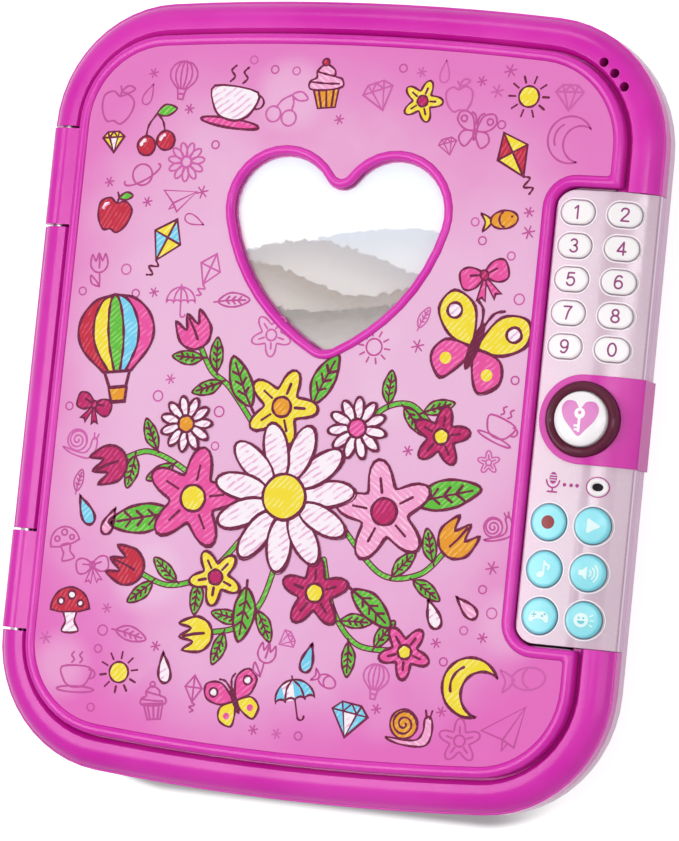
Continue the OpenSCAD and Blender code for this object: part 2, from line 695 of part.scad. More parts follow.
module lock_ring() {
    color("#5e0f3e") placed() translate([lock_x, lock_y, panel_z]) rotate_extrude($fn = 72)
        polygon([[lock_r + lock_gap, -ring_sink], [ring_r, -ring_sink], [ring_r, ring_proud - 1.2],
            [ring_r - 0.25, ring_proud - 0.6], [ring_r - 0.75, ring_proud - 0.15],
            [ring_r - 1.5, ring_proud], [lock_r + 0.9, ring_proud - 0.4],
            [lock_r + lock_gap, ring_proud - 0.9]]);
}

module lock_button() {
    color("#faf6f4") placed() translate([lock_x, lock_y, panel_z]) rotate_extrude($fn = 72)
        polygon([[0, -ring_sink - lock_flange_t - 0.1],
            [lock_r + lock_flange, -ring_sink - lock_flange_t - 0.1],
            [lock_r + lock_flange, -ring_sink - 0.1], [lock_r, -ring_sink - 0.1],
            [lock_r, lock_proud - 1.65],
            [lock_r - 0.3, lock_proud - 0.95], [lock_r - 0.9, lock_proud - 0.55],
            [lock_r - 3, lock_proud - 0.2], [0, lock_proud]]);
}

// A number key in the row counted from the top
module number_key(x, row) {
    drop = flange_drop(x, key_l / 2 + flange_ext) + panel_t + 0.1;
    color("#fbf7f4") placed() on_face(x, key_y - row * key_pitch) {
        translate([0, 0, -drop - flange_t / 2])
            soft_stadium(key_l, key_w, drop + flange_t / 2 + key_proud, 0.7);
        translate([0, 0, -drop - flange_t]) stadium(key_l + 2 * flange_ext, key_w, flange_t);
    }
}

// A round button in the row counted from the top
module round_button(x, row) {
    r = button_d / 2;
    drop = flange_drop(x, r + flange_ext) + panel_t + 0.1;
    h = key_proud + 0.1;
    color("#7fdbe6") placed() on_face(x, button_y - row * button_pitch) rotate_extrude()
        polygon([[0, -drop - flange_t], [r + flange_ext, -drop - flange_t], [r + flange_ext, -drop],
            [r, -drop], [r, h - 0.8], [r - 0.25, h - 0.25], [r - 0.9, h], [0, h + 0.3]]);
}

module key_1() { number_key(key_x1, 0); }
module key_2() { number_key(key_x2, 0); }
module key_3() { number_key(key_x1, 1); }
module key_4() { number_key(key_x2, 1); }
module key_5() { number_key(key_x1, 2); }
module key_6() { number_key(key_x2, 2); }
module key_7() { number_key(key_x1, 3); }
module key_8() { number_key(key_x2, 3); }
module key_9() { number_key(key_x1, 4); }
module key_0() { number_key(key_x2, 4); }
module button_record() { round_button(button_x1, 0); }
module button_play() { round_button(button_x2, 0); }
module button_music() { round_button(button_x1, 1); }
module button_volume() { round_button(button_x2, 1); }
module button_game() { round_button(button_x1, 2); }
module button_voice() { round_button(button_x2, 2); }

// Height of the underside of a key or button over the board, less its travel
function under_z(x, half) = face_z(x) - 2.5 * sin(face_tilt(x))
    - (flange_drop(x, half + flange_ext) + panel_t + flange_t + key_travel + 0.3) * cos(face_tilt(x));
function under_x(x, half) = x
    - (flange_drop(x, half + flange_ext) + panel_t + flange_t) * sin(face_tilt(x));

module mat_sheet(y0, y1) {
    intersection() {
        housing_plan(panel_wall + 0.5, mat_z, mat_z + mat_t);
        box(0, half_w - panel_side - 1.5, y0, y1, mat_z - 1, mat_z + mat_t + 1);
    }
}

module key_mat() {
    color("#c9c4cc") placed() difference() {
        union() {
            mat_sheet(key_y - 4.5 * key_pitch, panel_y);
            mat_sheet(-panel_y, button_y + button_pitch / 2);
            for (x = [key_x1, key_x2]) for (i = [0:4])
                translate([under_x(x, key_l / 2), key_y - i * key_pitch, mat_z + mat_t - eps])
                    cylinder(r = 2.5, h = under_z(x, key_l / 2) - mat_z - mat_t);
            for (x = [button_x1, button_x2]) for (i = [0:2])
                translate([under_x(x, button_d / 2), button_y - i * button_pitch, mat_z + mat_t - eps])
                    cylinder(r = 2.5, h = under_z(x, button_d / 2) - mat_z - mat_t);
        }
        for (y = post_ys) translate([post_x, y, mat_z - 1]) cylinder(r = post_r + 0.4, h = 10);
    }
}

module circuit_board() {
    color("#2f7d4f") placed() difference() {
        intersection() {
            housing_plan(panel_wall + 0.3, board_z, board_z + board_t);
            box(0, half_w - panel_side - 1, -panel_y, panel_y, board_z - 1, board_z + board_t + 1);
        }
        box(panel_x, lock_x + 6, lock_y - 10, lock_y + 10, board_z - 1, board_z + board_t + 1);
    }
}

module microphone() {
    color("#b9b9bd") placed() on_face(mic_x, mic_y) translate([0, 0, -panel_t - 3.1])
        cylinder(r = 2.6, h = 3);
}

module speaker() {
    color("#3a3a3e") placed() translate([speaker_x, speaker_y, speaker_z]) rotate_extrude()
        polygon([[0, 0], [speaker_d / 4, 0], [speaker_d / 4, 2], [speaker_d / 2, 3],
            [speaker_d / 2, speaker_h], [speaker_d / 2 - 1.2, speaker_h],
            [speaker_d / 2 - 3, speaker_h - 1.2], [3, speaker_h - 1.8], [0, speaker_h - 1]]);
}

module latch_bolt() {
    color("#c7c9cc") placed() {
        box(bolt_x0, lock_x + 1, lock_y - bolt_half, lock_y + bolt_half, bolt_z, bolt_z + bolt_t);
        box(lock_x - 4, lock_x - 2, lock_y - 1.5, lock_y + 1.5, bolt_z - 2, bolt_z + eps);
    }
}

module latch_motor() {
    color("#8e9196") placed() difference() {
        box(panel_x + 3, lock_x + 3, lock_y - 7, lock_y + 7, motor_top - motor_h, motor_top);
        box(lock_x - 4.3 - bolt_travel, lock_x - 1.7, lock_y - 1.8, lock_y + 1.8,
            motor_top - 2.4, motor_top + 1);
    }
}

// Round-headed screw with its head's seat at z = 0, pointing up, with a cross in the head
module screw(r, head_r, head_t, l) {
    difference() {
        translate([0, 0, -head_t]) cylinder(r = head_r, h = head_t);
        for (a = [0, 90]) rotate(a) translate([-head_r * 0.6, -head_r * 0.12, -head_t - 1])
            cube([head_r * 1.2, head_r * 0.24, 1 + head_t * 0.5]);
    }
    translate([0, 0, -eps]) cylinder(r = r, h = l + eps);
}

module battery_door() {
    y1 = bay_y1 + door_lip + door_ear - door_gap;
    color("#e3cfe3") placed() difference() {
        union() {
            box(bay_x0 - door_lip + door_gap, bay_x1 + door_lip - door_gap,
                bay_y0 - door_lip + door_gap, y1, 0, door_t);
            // Stiffening plug that fills the opening, and two tongues over the ledge
            box(bay_x0 + door_lip + door_gap, bay_x1 - door_lip - door_gap, bay_y0 + door_lip + door_gap,
                bay_y1 - door_lip - door_gap, door_t - eps, shell_floor);
            for (s = [-1, 1]) {
                box(bay_x + s * bay_w / 4 - tongue_w / 2, bay_x + s * bay_w / 4 + tongue_w / 2,
                    bay_y0 + door_lip + door_gap, bay_y0 + 2 * door_lip, door_t,
                    shell_floor + door_gap + tongue_t);
                box(bay_x + s * bay_w / 4 - tongue_w / 2, bay_x + s * bay_w / 4 + tongue_w / 2,
                    bay_y0 + door_lip - tongue_l, bay_y0 + 2 * door_lip, shell_floor + door_gap,
                    shell_floor + door_gap + tongue_t);
            }
        }
        translate([bay_x, bay_y1 + door_ear / 2 + door_lip, -1]) {
            cylinder(r = screw_r - 0.1, h = door_t + 2);
            cylinder(r = screw_head_r - 0.3, h = 2);
        }
        // Grip arcs pressed into the door's face
        for (i = [0:2]) translate([bay_x, bay_y1 - 6 - i * 3, -1]) intersection() {
            difference() {
                cylinder(r = 9, h = 1.5);
                translate([0, 0, -1]) cylinder(r = 8, h = 4);
            }
            translate([-6, 0, -1]) cube([12, 12, 4]);
        }
    }
}

module battery_door_screw() {
    color("#9a9da1") placed() translate([bay_x, bay_y1 + door_ear / 2 + door_lip, 1])
        screw(screw_r - 0.4, screw_head_r - 0.5, 0.9, 5);
}

function cell_x(i) = bay_x + (i - (cell_count - 1) / 2) * cell_pitch;
// Every second cell points the other way
function cell_dir(i) = i % 2 == 0 ? 1 : -1;

module batteries() {
    color("#3b3f45") placed() for (i = [0:cell_count - 1])
        translate([cell_x(i), bay_y + cell_dir(i) * (bay_l / 2 - plate_t - 0.1), cell_z])
            rotate([90 * cell_dir(i), 0, 0]) rotate_extrude() polygon([[0, 0], [2.7, 0], [2.7, nub_l],
                [cell_d / 2 - 0.6, nub_l], [cell_d / 2, nub_l + 0.6], [cell_d / 2, cell_l - 0.5],
                [cell_d / 2 - 0.5, cell_l], [0, cell_l]]);
}

module battery_contacts() {
    color("#c0c2c6") placed() for (i = [0:cell_count - 1]) {
        translate([cell_x(i), bay_y + cell_dir(i) * bay_l / 2, cell_z]) rotate([90 * cell_dir(i), 0, 0])
            translate([-contact_w / 2, -contact_w / 2, 0]) cube([contact_w, contact_w, plate_t]);
        translate([cell_x(i), bay_y - cell_dir(i) * bay_l / 2, cell_z]) rotate([-90 * cell_dir(i), 0, 0])
            union() {
                translate([-contact_w / 2, -contact_w / 2, 0]) cube([contact_w, contact_w, plate_t]);
                translate([0, 0, plate_t - eps]) cylinder(r1 = 4.2, r2 = 2.6, h = spring_l + eps);
            }
    }
}

module case_screws() {
    color("#9a9da1") placed() for (p = screw_pts) translate([p[0], p[1], screw_seat])
        screw(screw_r, screw_head_r, screw_head_t, screw_l);
}

// Section of the lid's rim: [distance in from the edge, height]
rim_profile = [[0, lid_z], [0, rim_z - 1.3], [0.3, rim_z - 0.55], [0.95, rim_z - 0.1], [1.7, rim_z],
    [rim_w - 0.8, rim_z - 0.15], [rim_w - 0.2, rim_z - 0.5], [rim_w, rim_z - 0.9], [rim_w, lid_z]];

// Section of a knuckle in X and Z: the frame's own outline over a round barrel
module knuckle_section() {
    top = concat([for (p = frame_profile) if (p[1] > pin_z) [-half_w + p[0], p[1]]],
        [[-half_w + lid_inset + 1, frame_z], [-half_w + lid_inset + 1, pin_z + 0.6]]);
    union() {
        polygon(concat([[-half_w, pin_z]], top, [[pin_x, pin_z]]));
        translate([pin_x, pin_z]) circle(r = barrel_r);
    }
}

module lid_shell() {
    color("#e04bb8") placed() difference() {
        union() {
            ring_loft([for (p = rim_profile) lift(lid_pts(p[0]), p[1])]);
            difference() {
                slab(lid_pts(rim_w - 0.5), skin_z - skin_t, skin_z);
                slab(heart_all(heart_rim_w + 0.6), lid_z, rim_z);
                slab(heart_all(1.2), skin_z - window_t, rim_z);
            }
            for (k = knuckles) translate([0, k[1], 0]) rotate([90, 0, 0]) linear_extrude(k[1] - k[0])
                knuckle_section();
        }
        for (k = knuckles) rod_y(pin_x, pin_z, pin_d / 2 + pin_clear, k[0] - 1, k[1] + 1);
    }
}

module lid_liner() {
    color("#f0b4dc") placed() difference() {
        slab(lid_pts(rim_w + fit_gap), lid_z + 0.2, lid_z + 0.2 + liner_t);
        box(heart_x - card_w / 2 - card_edge - 0.2, heart_x + card_w / 2 + card_edge + 0.2,
            card_y - card_h / 2 - card_edge - 0.2, card_y + card_h / 2 + card_edge + 0.2,
            lid_z - 1, lid_z + 5);
    }
}

module lid_print_panel() {
    color("#f2a6d8") placed() difference() {
        slab(lid_pts(rim_w + 0.05), skin_z, print_z);
        slab(heart_all(-fit_gap), skin_z - 1, print_z + 1);
    }
}

heart_profile = [[0, skin_z], [0, print_z + 0.2], [heart_rim_w * 0.12, print_z + heart_rim_h * 0.7],
    [heart_rim_w * 0.35, print_z + heart_rim_h], [heart_rim_w * 0.65, print_z + heart_rim_h * 0.95],
    [heart_rim_w * 0.9, print_z + heart_rim_h * 0.55], [heart_rim_w, print_z], [heart_rim_w, skin_z]];

module heart_rim() {
    color("#df43b6") placed() ring_loft([for (p = heart_profile) lift(heart_all(p[0]), p[1])]);
}

module heart_window() {
    color("#eef4fb") placed() slab(heart_all(1.3), skin_z - window_t, skin_z);
}

module photo_card() {
    color("#f6f6fa") placed() box(heart_x - card_w / 2, heart_x + card_w / 2, card_y - card_h / 2,
        card_y + card_h / 2, skin_z - skin_t - 0.35, skin_z - skin_t - 0.05);
}

module photo_retainer() {
    color("#f0b4dc") placed() difference() {
        box(heart_x - card_w / 2 - card_edge, heart_x + card_w / 2 + card_edge,
            card_y - card_h / 2 - card_edge, card_y + card_h / 2 + card_edge, lid_z + 0.2,
            skin_z - skin_t - 0.4);
        // Finger dip for taking the plate out
        translate([heart_x, card_y - card_h / 2 + 4, lid_z + 0.2]) rotate([0, 0, 90])
            translate([0, 0, -0.4]) stadium(6, 22, 1);
    }
}

module lid_catch() {
    color("#c7c9cc") placed() difference() {
        union() {
            box(bin_x - 10, bin_x - 0.5, lock_y - 8, lock_y + 8, lid_z - 1.4, lid_z);
            box(bin_x - 2.6, bin_x - 0.5, lock_y - 8, lock_y + 8, bolt_z - 2.2, lid_z);
        }
        box(bin_x - 4, bin_x + 1, lock_y - bolt_half - 0.6, lock_y + bolt_half + 0.6, bolt_z - 0.4,
            bolt_z + bolt_t + 0.4);
    }
}

module hinge_pins() {
    color("#b4b6ba") placed() for (k = knuckles) rod_y(pin_x, pin_z, pin_d / 2,
        k[0] - knuckle_slit - pin_grip, k[1] + knuckle_slit + pin_grip);
}

well_inset = pocket_inset + ledge_w + tray_gap + tray_t;
well_x0 = -half_w + well_inset;
pad_x0 = well_x0 + pad_gap;
pad_x1 = well_x - pad_gap;
pad_h = 2 * (half_h - well_inset - pad_end_gap);

// Rounded rectangle between x0 and x1, y0 and y1
module round_sheet(x0, x1, y0, y1, r, z0, z1) {
    translate([0, 0, z0]) linear_extrude(z1 - z0) union() {
        translate([x0 + r, y0]) square([x1 - x0 - 2 * r, y1 - y0]);
        translate([x0, y0 + r]) square([x1 - x0, y1 - y0 - 2 * r]);
        for (x = [x0 + r, x1 - r]) for (y = [y0 + r, y1 - r]) translate([x, y]) circle(r = r);
    }
}

module notebook_pages() {
    color("#fdfbf6") placed() round_sheet(pad_x0 + pad_cover_t, pad_x1, -pad_h / 2, pad_h / 2, pad_r,
        well_z + pad_cover_t, well_z + pad_cover_t + pad_t);
}

module notebook_cover() {
    color("#e58cc8") placed() difference() {
        round_sheet(pad_x0, pad_x1, -pad_h / 2, pad_h / 2, pad_r, well_z,
            well_z + pad_t + 2 * pad_cover_t);
        box(pad_x0 + pad_cover_t, pad_x1 + 1, -pad_h, pad_h, well_z + pad_cover_t,
            well_z + pad_cover_t + pad_t);
    }
}

back_shell();
top_frame();
inner_tray();
keypad_panel();
latch_band();
lock_ring();
lock_button();
key_1();
key_2();
key_3();
key_4();
key_5();
key_6();
key_7();
key_8();
key_9();
key_0();
button_record();
button_play();
button_music();
button_volume();
button_game();
button_voice();
key_mat();
circuit_board();
microphone();
speaker();
latch_bolt();
latch_motor();
battery_door();
battery_door_screw();
batteries();
battery_contacts();
case_screws();
lid_shell();
lid_liner();
lid_print_panel();
heart_rim();
heart_window();
photo_card();
photo_retainer();
lid_catch();
hinge_pins();
notebook_pages();
notebook_cover();
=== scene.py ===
"""Looks of an electronic secret diary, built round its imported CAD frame.

Places on the part are written in millimetres in its own drawing frame and turned into
metres by spot(), which also adds the small shift that centres the part. Materials, lights
and the floor work in metres.
"""
import json
import math
import random

import bmesh
import bpy
from mathutils import Matrix, Vector
from mathutils.bvhtree import BVHTree
from mathutils.geometry import tessellate_polygon

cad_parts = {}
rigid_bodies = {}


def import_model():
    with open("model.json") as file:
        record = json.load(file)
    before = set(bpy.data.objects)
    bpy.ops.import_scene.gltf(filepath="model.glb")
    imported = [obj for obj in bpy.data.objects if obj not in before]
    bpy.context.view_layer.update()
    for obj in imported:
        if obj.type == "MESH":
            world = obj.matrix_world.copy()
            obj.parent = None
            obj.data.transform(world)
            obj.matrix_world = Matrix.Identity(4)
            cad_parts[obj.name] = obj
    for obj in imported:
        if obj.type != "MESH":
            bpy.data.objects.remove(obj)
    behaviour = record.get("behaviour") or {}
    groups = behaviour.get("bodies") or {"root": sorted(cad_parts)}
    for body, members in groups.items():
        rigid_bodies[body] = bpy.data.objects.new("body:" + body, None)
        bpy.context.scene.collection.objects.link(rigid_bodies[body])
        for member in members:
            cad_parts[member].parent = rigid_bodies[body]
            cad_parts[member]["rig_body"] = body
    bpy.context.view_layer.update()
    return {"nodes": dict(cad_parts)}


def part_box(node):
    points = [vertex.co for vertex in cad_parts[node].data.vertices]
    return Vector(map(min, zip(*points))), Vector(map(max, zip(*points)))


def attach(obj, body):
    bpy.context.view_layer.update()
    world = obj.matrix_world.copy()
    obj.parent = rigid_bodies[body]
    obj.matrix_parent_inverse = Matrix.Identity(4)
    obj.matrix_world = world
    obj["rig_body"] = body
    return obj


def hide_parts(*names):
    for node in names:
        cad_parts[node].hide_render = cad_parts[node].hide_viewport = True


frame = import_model()
scene = bpy.context.scene

MM = 0.001
SHIFT_X = -0.45

# Lid print, and the keypad housing's flat face with its round outer shoulder
PRINT_Z = 38.2
SHEET_HALF = (92.0, 115.0)
FACE_Z = 36.8
FACE_CURVE_X = 91.0
FACE_CURVE_R = 26.97
CREASE_Z = 31.5
# Distances across, in metres, over which the warm tint fades and the outer flank with its painted
# shade and highlight starts
WARM_X = (0.074, 0.088)
FLANK_X = (0.1050, 0.1060)

# Keys, round buttons, lock button, microphone hole and heart window
KEY_PROUD = 0.9
KEY_COLUMNS = (81.8, 97.2)
KEY_TOP_Y = 65.0
KEY_PITCH = 10.72
KEY_LENGTH = 11.0
KEY_WIDTH = 7.6
BUTTON_COLUMNS = (82.2, 96.6)
BUTTON_TOP_Y = -33.7
BUTTON_PITCH = 14.85
BUTTON_R = 5.75
BUTTON_EDGE_H = 1.0
BUTTON_DOME_H = 0.3
BUTTON_DOME_R = 4.85
LOCK_X = 90.0
LOCK_Y = -0.5
MIC_SPOT = (96.9, -21.4)
HEART_X = 0.5
HEART_Y = 61.2

# Print lies this far above its ground, and its shapes rise by small steps
CLEAR = 0.02
LIFT_STEP = 0.0012
LIFT_STEPS = 64
# Strokes: widths, least cosine at a corner, lengths too short for a direction, rounds of
# edge splitting, and the motif size above which an outline is drawn twice
BOLD_LINE = 0.9
MIDDLE_LINE = 0.8
FINE_LINE = 0.7
SKETCH_LINE = 0.62
SMALL_LINE = 0.5
LEAST_MITRE = 0.6
NO_STEP = 1e-6
NO_TURN = 1e-3
SPLIT_ROUNDS = 5
TWICE_DRAWN = 9

WHITE = (1.0, 1.0, 1.0, 1.0)
# Colour of the painted sparkle on flakes in the plastic
FLAKE_GLINT_WHITE = (1.0, 0.97, 1.0, 1.0)
# Colour of the painted highlight along plastic edges
EDGE_HIGHLIGHT = (1.0, 0.93, 0.98, 1.0)
# Scale at which a wave texture has one band each metre
ONE_BAND = 0.314

rng = random.Random(7)


def spot(x, y, z):
    return Vector(((x + SHIFT_X) * MM, y * MM, z * MM))


def linear(value):
    return value / 12.92 if value <= 0.04045 else ((value + 0.055) / 1.055) ** 2.4


def tint(code, gain=1.0):
    parts = [int(code[i:i + 2], 16) / 255 for i in (1, 3, 5)]
    return tuple(min(1.0, linear(part) * gain) for part in parts) + (1.0,)


# Shader nodes; the helpers work in the current tree

tree = None


def plug(socket, value):
    if isinstance(value, bpy.types.NodeSocket):
        tree.links.new(value, socket)
    else:
        socket.default_value = value


def node(kind, settings=None, **inputs):
    """A shader node; an input's name has _ for each space."""
    made = tree.nodes.new("ShaderNode" + kind)
    for key, value in (settings or {}).items():
        setattr(made, key, value)
    for key, value in inputs.items():
        plug(made.inputs[key.replace("_", " ")], value)
    return made


def calc(operation, *values, clamp=False):
    made = node("Math", {"operation": operation, "use_clamp": clamp})
    for index, value in enumerate(values):
        plug(made.inputs[index], value)
    return made.outputs[0]


def blend(factor, first, second):
    made = node("Mix", {"data_type": "RGBA"})
    for index, value in ((0, factor), (6, first), (7, second)):
        plug(made.inputs[index], value)
    return made.outputs[2]


def span(value, low, high, to_low, to_high, smooth=False):
    made = node("MapRange", {"interpolation_type": "SMOOTHSTEP" if smooth else "LINEAR"},
                Value=value, From_Min=low, From_Max=high, To_Min=to_low, To_Max=to_high)
    return made.outputs[0]


def places(scale=(1, 1, 1), turn=0.0):
    coords = node("TexCoord").outputs["Object"]
    return node("Mapping", Vector=coords, Scale=scale, Rotation=(0.0, 0.0, turn)).outputs[0]


def axes(vector):
    return node("SeparateXYZ", Vector=vector).outputs


def noise(vector, scale, detail=2.0, rough=0.5):
    return node("TexNoise", Vector=vector, Scale=scale, Detail=detail, Roughness=rough).outputs[0]


def drift(vector, scale, detail, rough, low, high, smooth=False):
    """Noise stretched from its usual range to low and high."""
    return span(noise(vector, scale, detail, rough), 0.3, 0.7, low, high, smooth)


def bands(vector, direction, pitch, **more):
    """Wave texture with a band every pitch millimetres."""
    return node("TexWave", {"wave_type": "BANDS", "bands_direction": direction},
                Vector=vector, Scale=ONE_BAND / (pitch * MM), Detail=2.0, **more).outputs["Fac"]


def seen_directly(ray):
    """1 on what the camera sees straight, mirrored or through clear plastic, else 0."""
    kinds = [ray.outputs["Is %s Ray" % kind] for kind in ("Camera", "Glossy", "Transmission")]
    return calc("MAXIMUM", kinds[0], calc("MAXIMUM", kinds[1], kinds[2]))


def material(name, make, *look, **more):
    """A material with the shader that make() builds in a new tree."""
    global tree
    made = bpy.data.materials.new(name)
    made.use_nodes = True
    tree = made.node_tree
    tree.nodes.clear()
    shader = make(*look, **more)
    plug(node("OutputMaterial").inputs["Surface"], shader.outputs[0])
    return made


def skinned(colour, gloss, height, strength, depth, **more):
    """Surface of a colour and a gloss, with a relief whose depth is in millimetres."""
    bump = node("Bump", Strength=strength, Distance=depth * MM, Height=height)
    return node("BsdfPrincipled", Base_Color=colour, Roughness=gloss, Normal=bump.outputs[0],
                **more)


# Materials

def plastic(colour, rough, level=0.3, edge=0.3, edge_highlight=0.08, grain=1200.0,
            grain_depth=0.012, scuffs=0.006, coat=0.0, under=0.0, sparkle_flakes=0.0, colour_of=None):
    """Moulded plastic: faint colour drift, fine skin, wiped streaks, flakes whitened as a painted
    sparkle, and softened edges with a painted highlight.
    """
    here = places()
    base = tint(colour)[:3]
    deep = tuple(part * 0.92 for part in base) + (1.0,)
    pale = tuple(part + (1 - part) * 0.025 for part in base) + (1.0,)
    surface = blend(drift(here, 22.0, 3.0, 0.55, 0.0, 1.0, True), deep, pale)
    if colour_of:
        surface = colour_of(here, surface)
    skin = noise(here, grain, 2.0, 0.6)
    rub = noise(places((1.0, 0.08, 1.0), 0.6), 900.0, 2.0, 0.7)
    streak = span(rub, 0.62, 0.74, 0.0, scuffs, True)
    wear = drift(here, 110.0, 3.0, 0.6, rough - 0.03, rough + 0.04)
    gloss = calc("ADD", wear, streak)
    # Flakes of the plastic, whitened as a painted sparkle
    if sparkle_flakes:
        cells = node("TexVoronoi", Vector=here, Scale=2600.0)
        flake_glint = span(cells.outputs["Color"], 0.82, 1.0, 0.0, sparkle_flakes)
        surface = blend(flake_glint, surface, FLAKE_GLINT_WHITE)
    bump = node("Bump", Strength=0.5, Distance=grain_depth * MM, Height=skin)
    if edge:
        soft = node("Bevel", {"samples": 6}, Radius=edge * MM).outputs[0]
        facing = node("VectorMath", {"operation": "DOT_PRODUCT"})
        plug(facing.inputs[0], soft)
        plug(facing.inputs[1], node("NewGeometry").outputs["Normal"])
        # Paler towards the edges: a painted highlight along them
        rim = span(facing.outputs["Value"], 0.995, 0.72, 0.0, edge_highlight)
        surface = blend(rim, surface, EDGE_HIGHLIGHT)
        plug(bump.inputs["Normal"], soft)
    return node("BsdfPrincipled", Base_Color=surface, Roughness=gloss, Normal=bump.outputs[0],
                Specular_IOR_Level=level, Coat_Weight=coat, Coat_Roughness=0.1,
                Subsurface_Weight=under, Subsurface_Radius=(0.004, 0.002, 0.003),
                Subsurface_Scale=0.3)


def housing_tint_shade_and_highlight(here, surface):
    """Keypad housing: pearl on top, warmer near the lid, a crease in painted shade and highlight, a
    lilac flank in painted shade.
    """
    across, _, height = axes(here)
    crease = CREASE_Z * MM
    outer = span(across, *FLANK_X, 0.0, 1.0)

    def line(middle, half):
        off = calc("ABSOLUTE", calc("SUBTRACT", height, middle * MM))
        share = calc("SUBTRACT", 1.0, calc("DIVIDE", off, half * MM), clamp=True)
        return calc("MULTIPLY", outer, share)

    surface = blend(span(across, *WARM_X, 0.5, 0.0, True), surface, tint("#e4bfd6"))
    low = span(height, crease + 0.1 * MM, crease - 0.1 * MM, 0.0, 1.0)
    # The flank below the crease in a darker lilac: painted shade
    surface = blend(calc("MULTIPLY", outer, low), surface, tint("#d69ccb"))
    # A thin dark line just above the crease: painted shade
    surface = blend(line(CREASE_Z + 0.22, 0.3), surface, tint("#a67f99"))
    # A pale band just below the crease: painted highlight
    return blend(line(CREASE_Z - 1.0, 1.1), surface, tint("#fff0fb"))


def aqua_rim_shade(here, surface):
    """Deepens a round button towards its rim: painted shade."""
    centred = node("VectorMath", {"operation": "SUBTRACT"})
    plug(centred.inputs[0], node("TexCoord").outputs["Generated"])
    plug(centred.inputs[1], (0.5, 0.5, 0.5))
    x, y, _ = axes(centred.outputs[0])
    square = calc("ADD", calc("MULTIPLY", x, x), calc("MULTIPLY", y, y))
    # Deeper aqua towards the rim: painted shade
    return blend(span(square, 0.13, 0.21, 0.0, 0.55, True), surface, tint("#52b9cd"))


def print_ground():
    """Printed sheet: pink at its edges, paler and more lilac inwards, paler towards the top as a
    painted sheen, with soft round glows.
    """
    here = places()
    across, along = [span(part, -half * MM, half * MM, -1.0, 1.0)
                     for part, half in zip(axes(here), SHEET_HALF)]
    reach = calc("ADD", *[calc("POWER", calc("ABSOLUTE", part), 3.0) for part in (across, along)])
    uneven = calc("ADD", reach, drift(here, 11.0, 4.0, 0.55, -0.35, 0.35))
    # Paler towards the top and more saturated lower down: a painted sheen
    lower = span(along, 0.2, -1.0, 0.0, 1.0, True)
    middle = blend(lower, tint("#e9b9da"), tint("#e8aed8"))
    border = blend(lower, tint("#e27ac1"), tint("#e268bd"))
    ground = blend(span(uneven, 0.15, 1.25, 0.0, 1.0, True), middle, border)
    glows = node("TexVoronoi", {"feature": "SMOOTH_F1"}, Vector=here, Scale=26.0, Smoothness=0.15)
    glow = span(glows.outputs["Distance"], 0.20, 0.42, 0.36, 0.0, True)
    patches = span(noise(here, 17.0, 1.0, 0.4), 0.5, 0.62, 0.0, 1.0, True)
    ground = blend(calc("MULTIPLY", glow, patches), ground, tint("#f2d6ea"))
    dots = node("TexVoronoi", Vector=here, Scale=1500.0).outputs["Distance"]
    ground = blend(span(dots, 0.2, 0.6, 0.0, 0.06), ground, tint("#dd74bd"))
    return skinned(ground, drift(here, 60.0, 3.0, 0.6, 0.42, 0.50),
                   noise(here, 2600.0, 2.0, 0.6), 0.35, 0.01, Specular_IOR_Level=0.15)


def ink(colour, hatch=None, amount=0.35, pitch=1.5, turn=0.7, rough=0.5, level=0.12):
    """Printed ink with crayon-like hatching that lets a second colour through."""
    here = places(turn=turn)
    base = tint(colour)
    surface = blend(drift(here, 160.0, 3.0, 0.6, 0.0, 0.14), base,
                    tuple(part * 0.86 for part in base[:3]) + (1.0,))
    if hatch:
        rows = bands(here, "X", pitch, Distortion=2.2, Detail_Scale=1.4)
        broken = span(noise(here, 240.0, 2.0, 0.6), 0.38, 0.58, 0.0, 1.0, True)
        drawn = calc("MULTIPLY", span(rows, 0.62, 0.86, 0.0, amount, True), broken)
        surface = blend(drawn, surface, tint(hatch))
    return skinned(surface, rough, noise(here, 1800.0), 0.3, 0.008, Specular_IOR_Level=level)


def metal():
    brushed = noise(places((1.0, 14.0, 1.0)), 900.0, 3.0, 0.6)
    stain = drift(places(), 90.0, 3.0, 0.6, 0.0, 0.25)
    surface = blend(stain, tint("#c3c5c9"), tint("#c3c5c9", 0.7))
    return skinned(surface, span(brushed, 0.3, 0.7, 0.24, 0.4), brushed, 0.3, 0.01, Metallic=1.0)


def paper():
    """Notepad leaves: fine fibre, and thin lines where the leaves' edges show."""
    here = places()
    fibre = noise(here, 700.0, 4.0, 0.7)
    surface = blend(span(fibre, 0.35, 0.65, 0.0, 0.12), tint("#fbf8f2"), tint("#fbf8f2", 0.82))
    leaves = bands(here, "Z", 0.22, Distortion=0.8)
    surface = blend(span(leaves, 0.55, 0.95, 0.0, 0.22), surface, tint("#b9aeb4"))
    return skinned(surface, 0.85, leaves, 0.35, 0.03)


def cover_stock():
    """Notepad cover: satin card with a small printed lattice of dots."""
    here = places(turn=math.radians(45))
    cells = node("TexVoronoi", Vector=here, Scale=125.0, Randomness=0.0)
    dot = span(cells.outputs["Distance"], 0.17, 0.20, 1.0, 0.0, True)
    fibre = noise(here, 500.0, 4.0, 0.7)
    ground = blend(span(fibre, 0.35, 0.65, 0.0, 0.2), tint("#e58cc8"), tint("#d977ba"))
    return skinned(blend(dot, ground, tint("#fbe3f2")), 0.5, fibre, 0.3, 0.02, Coat_Weight=0.15)


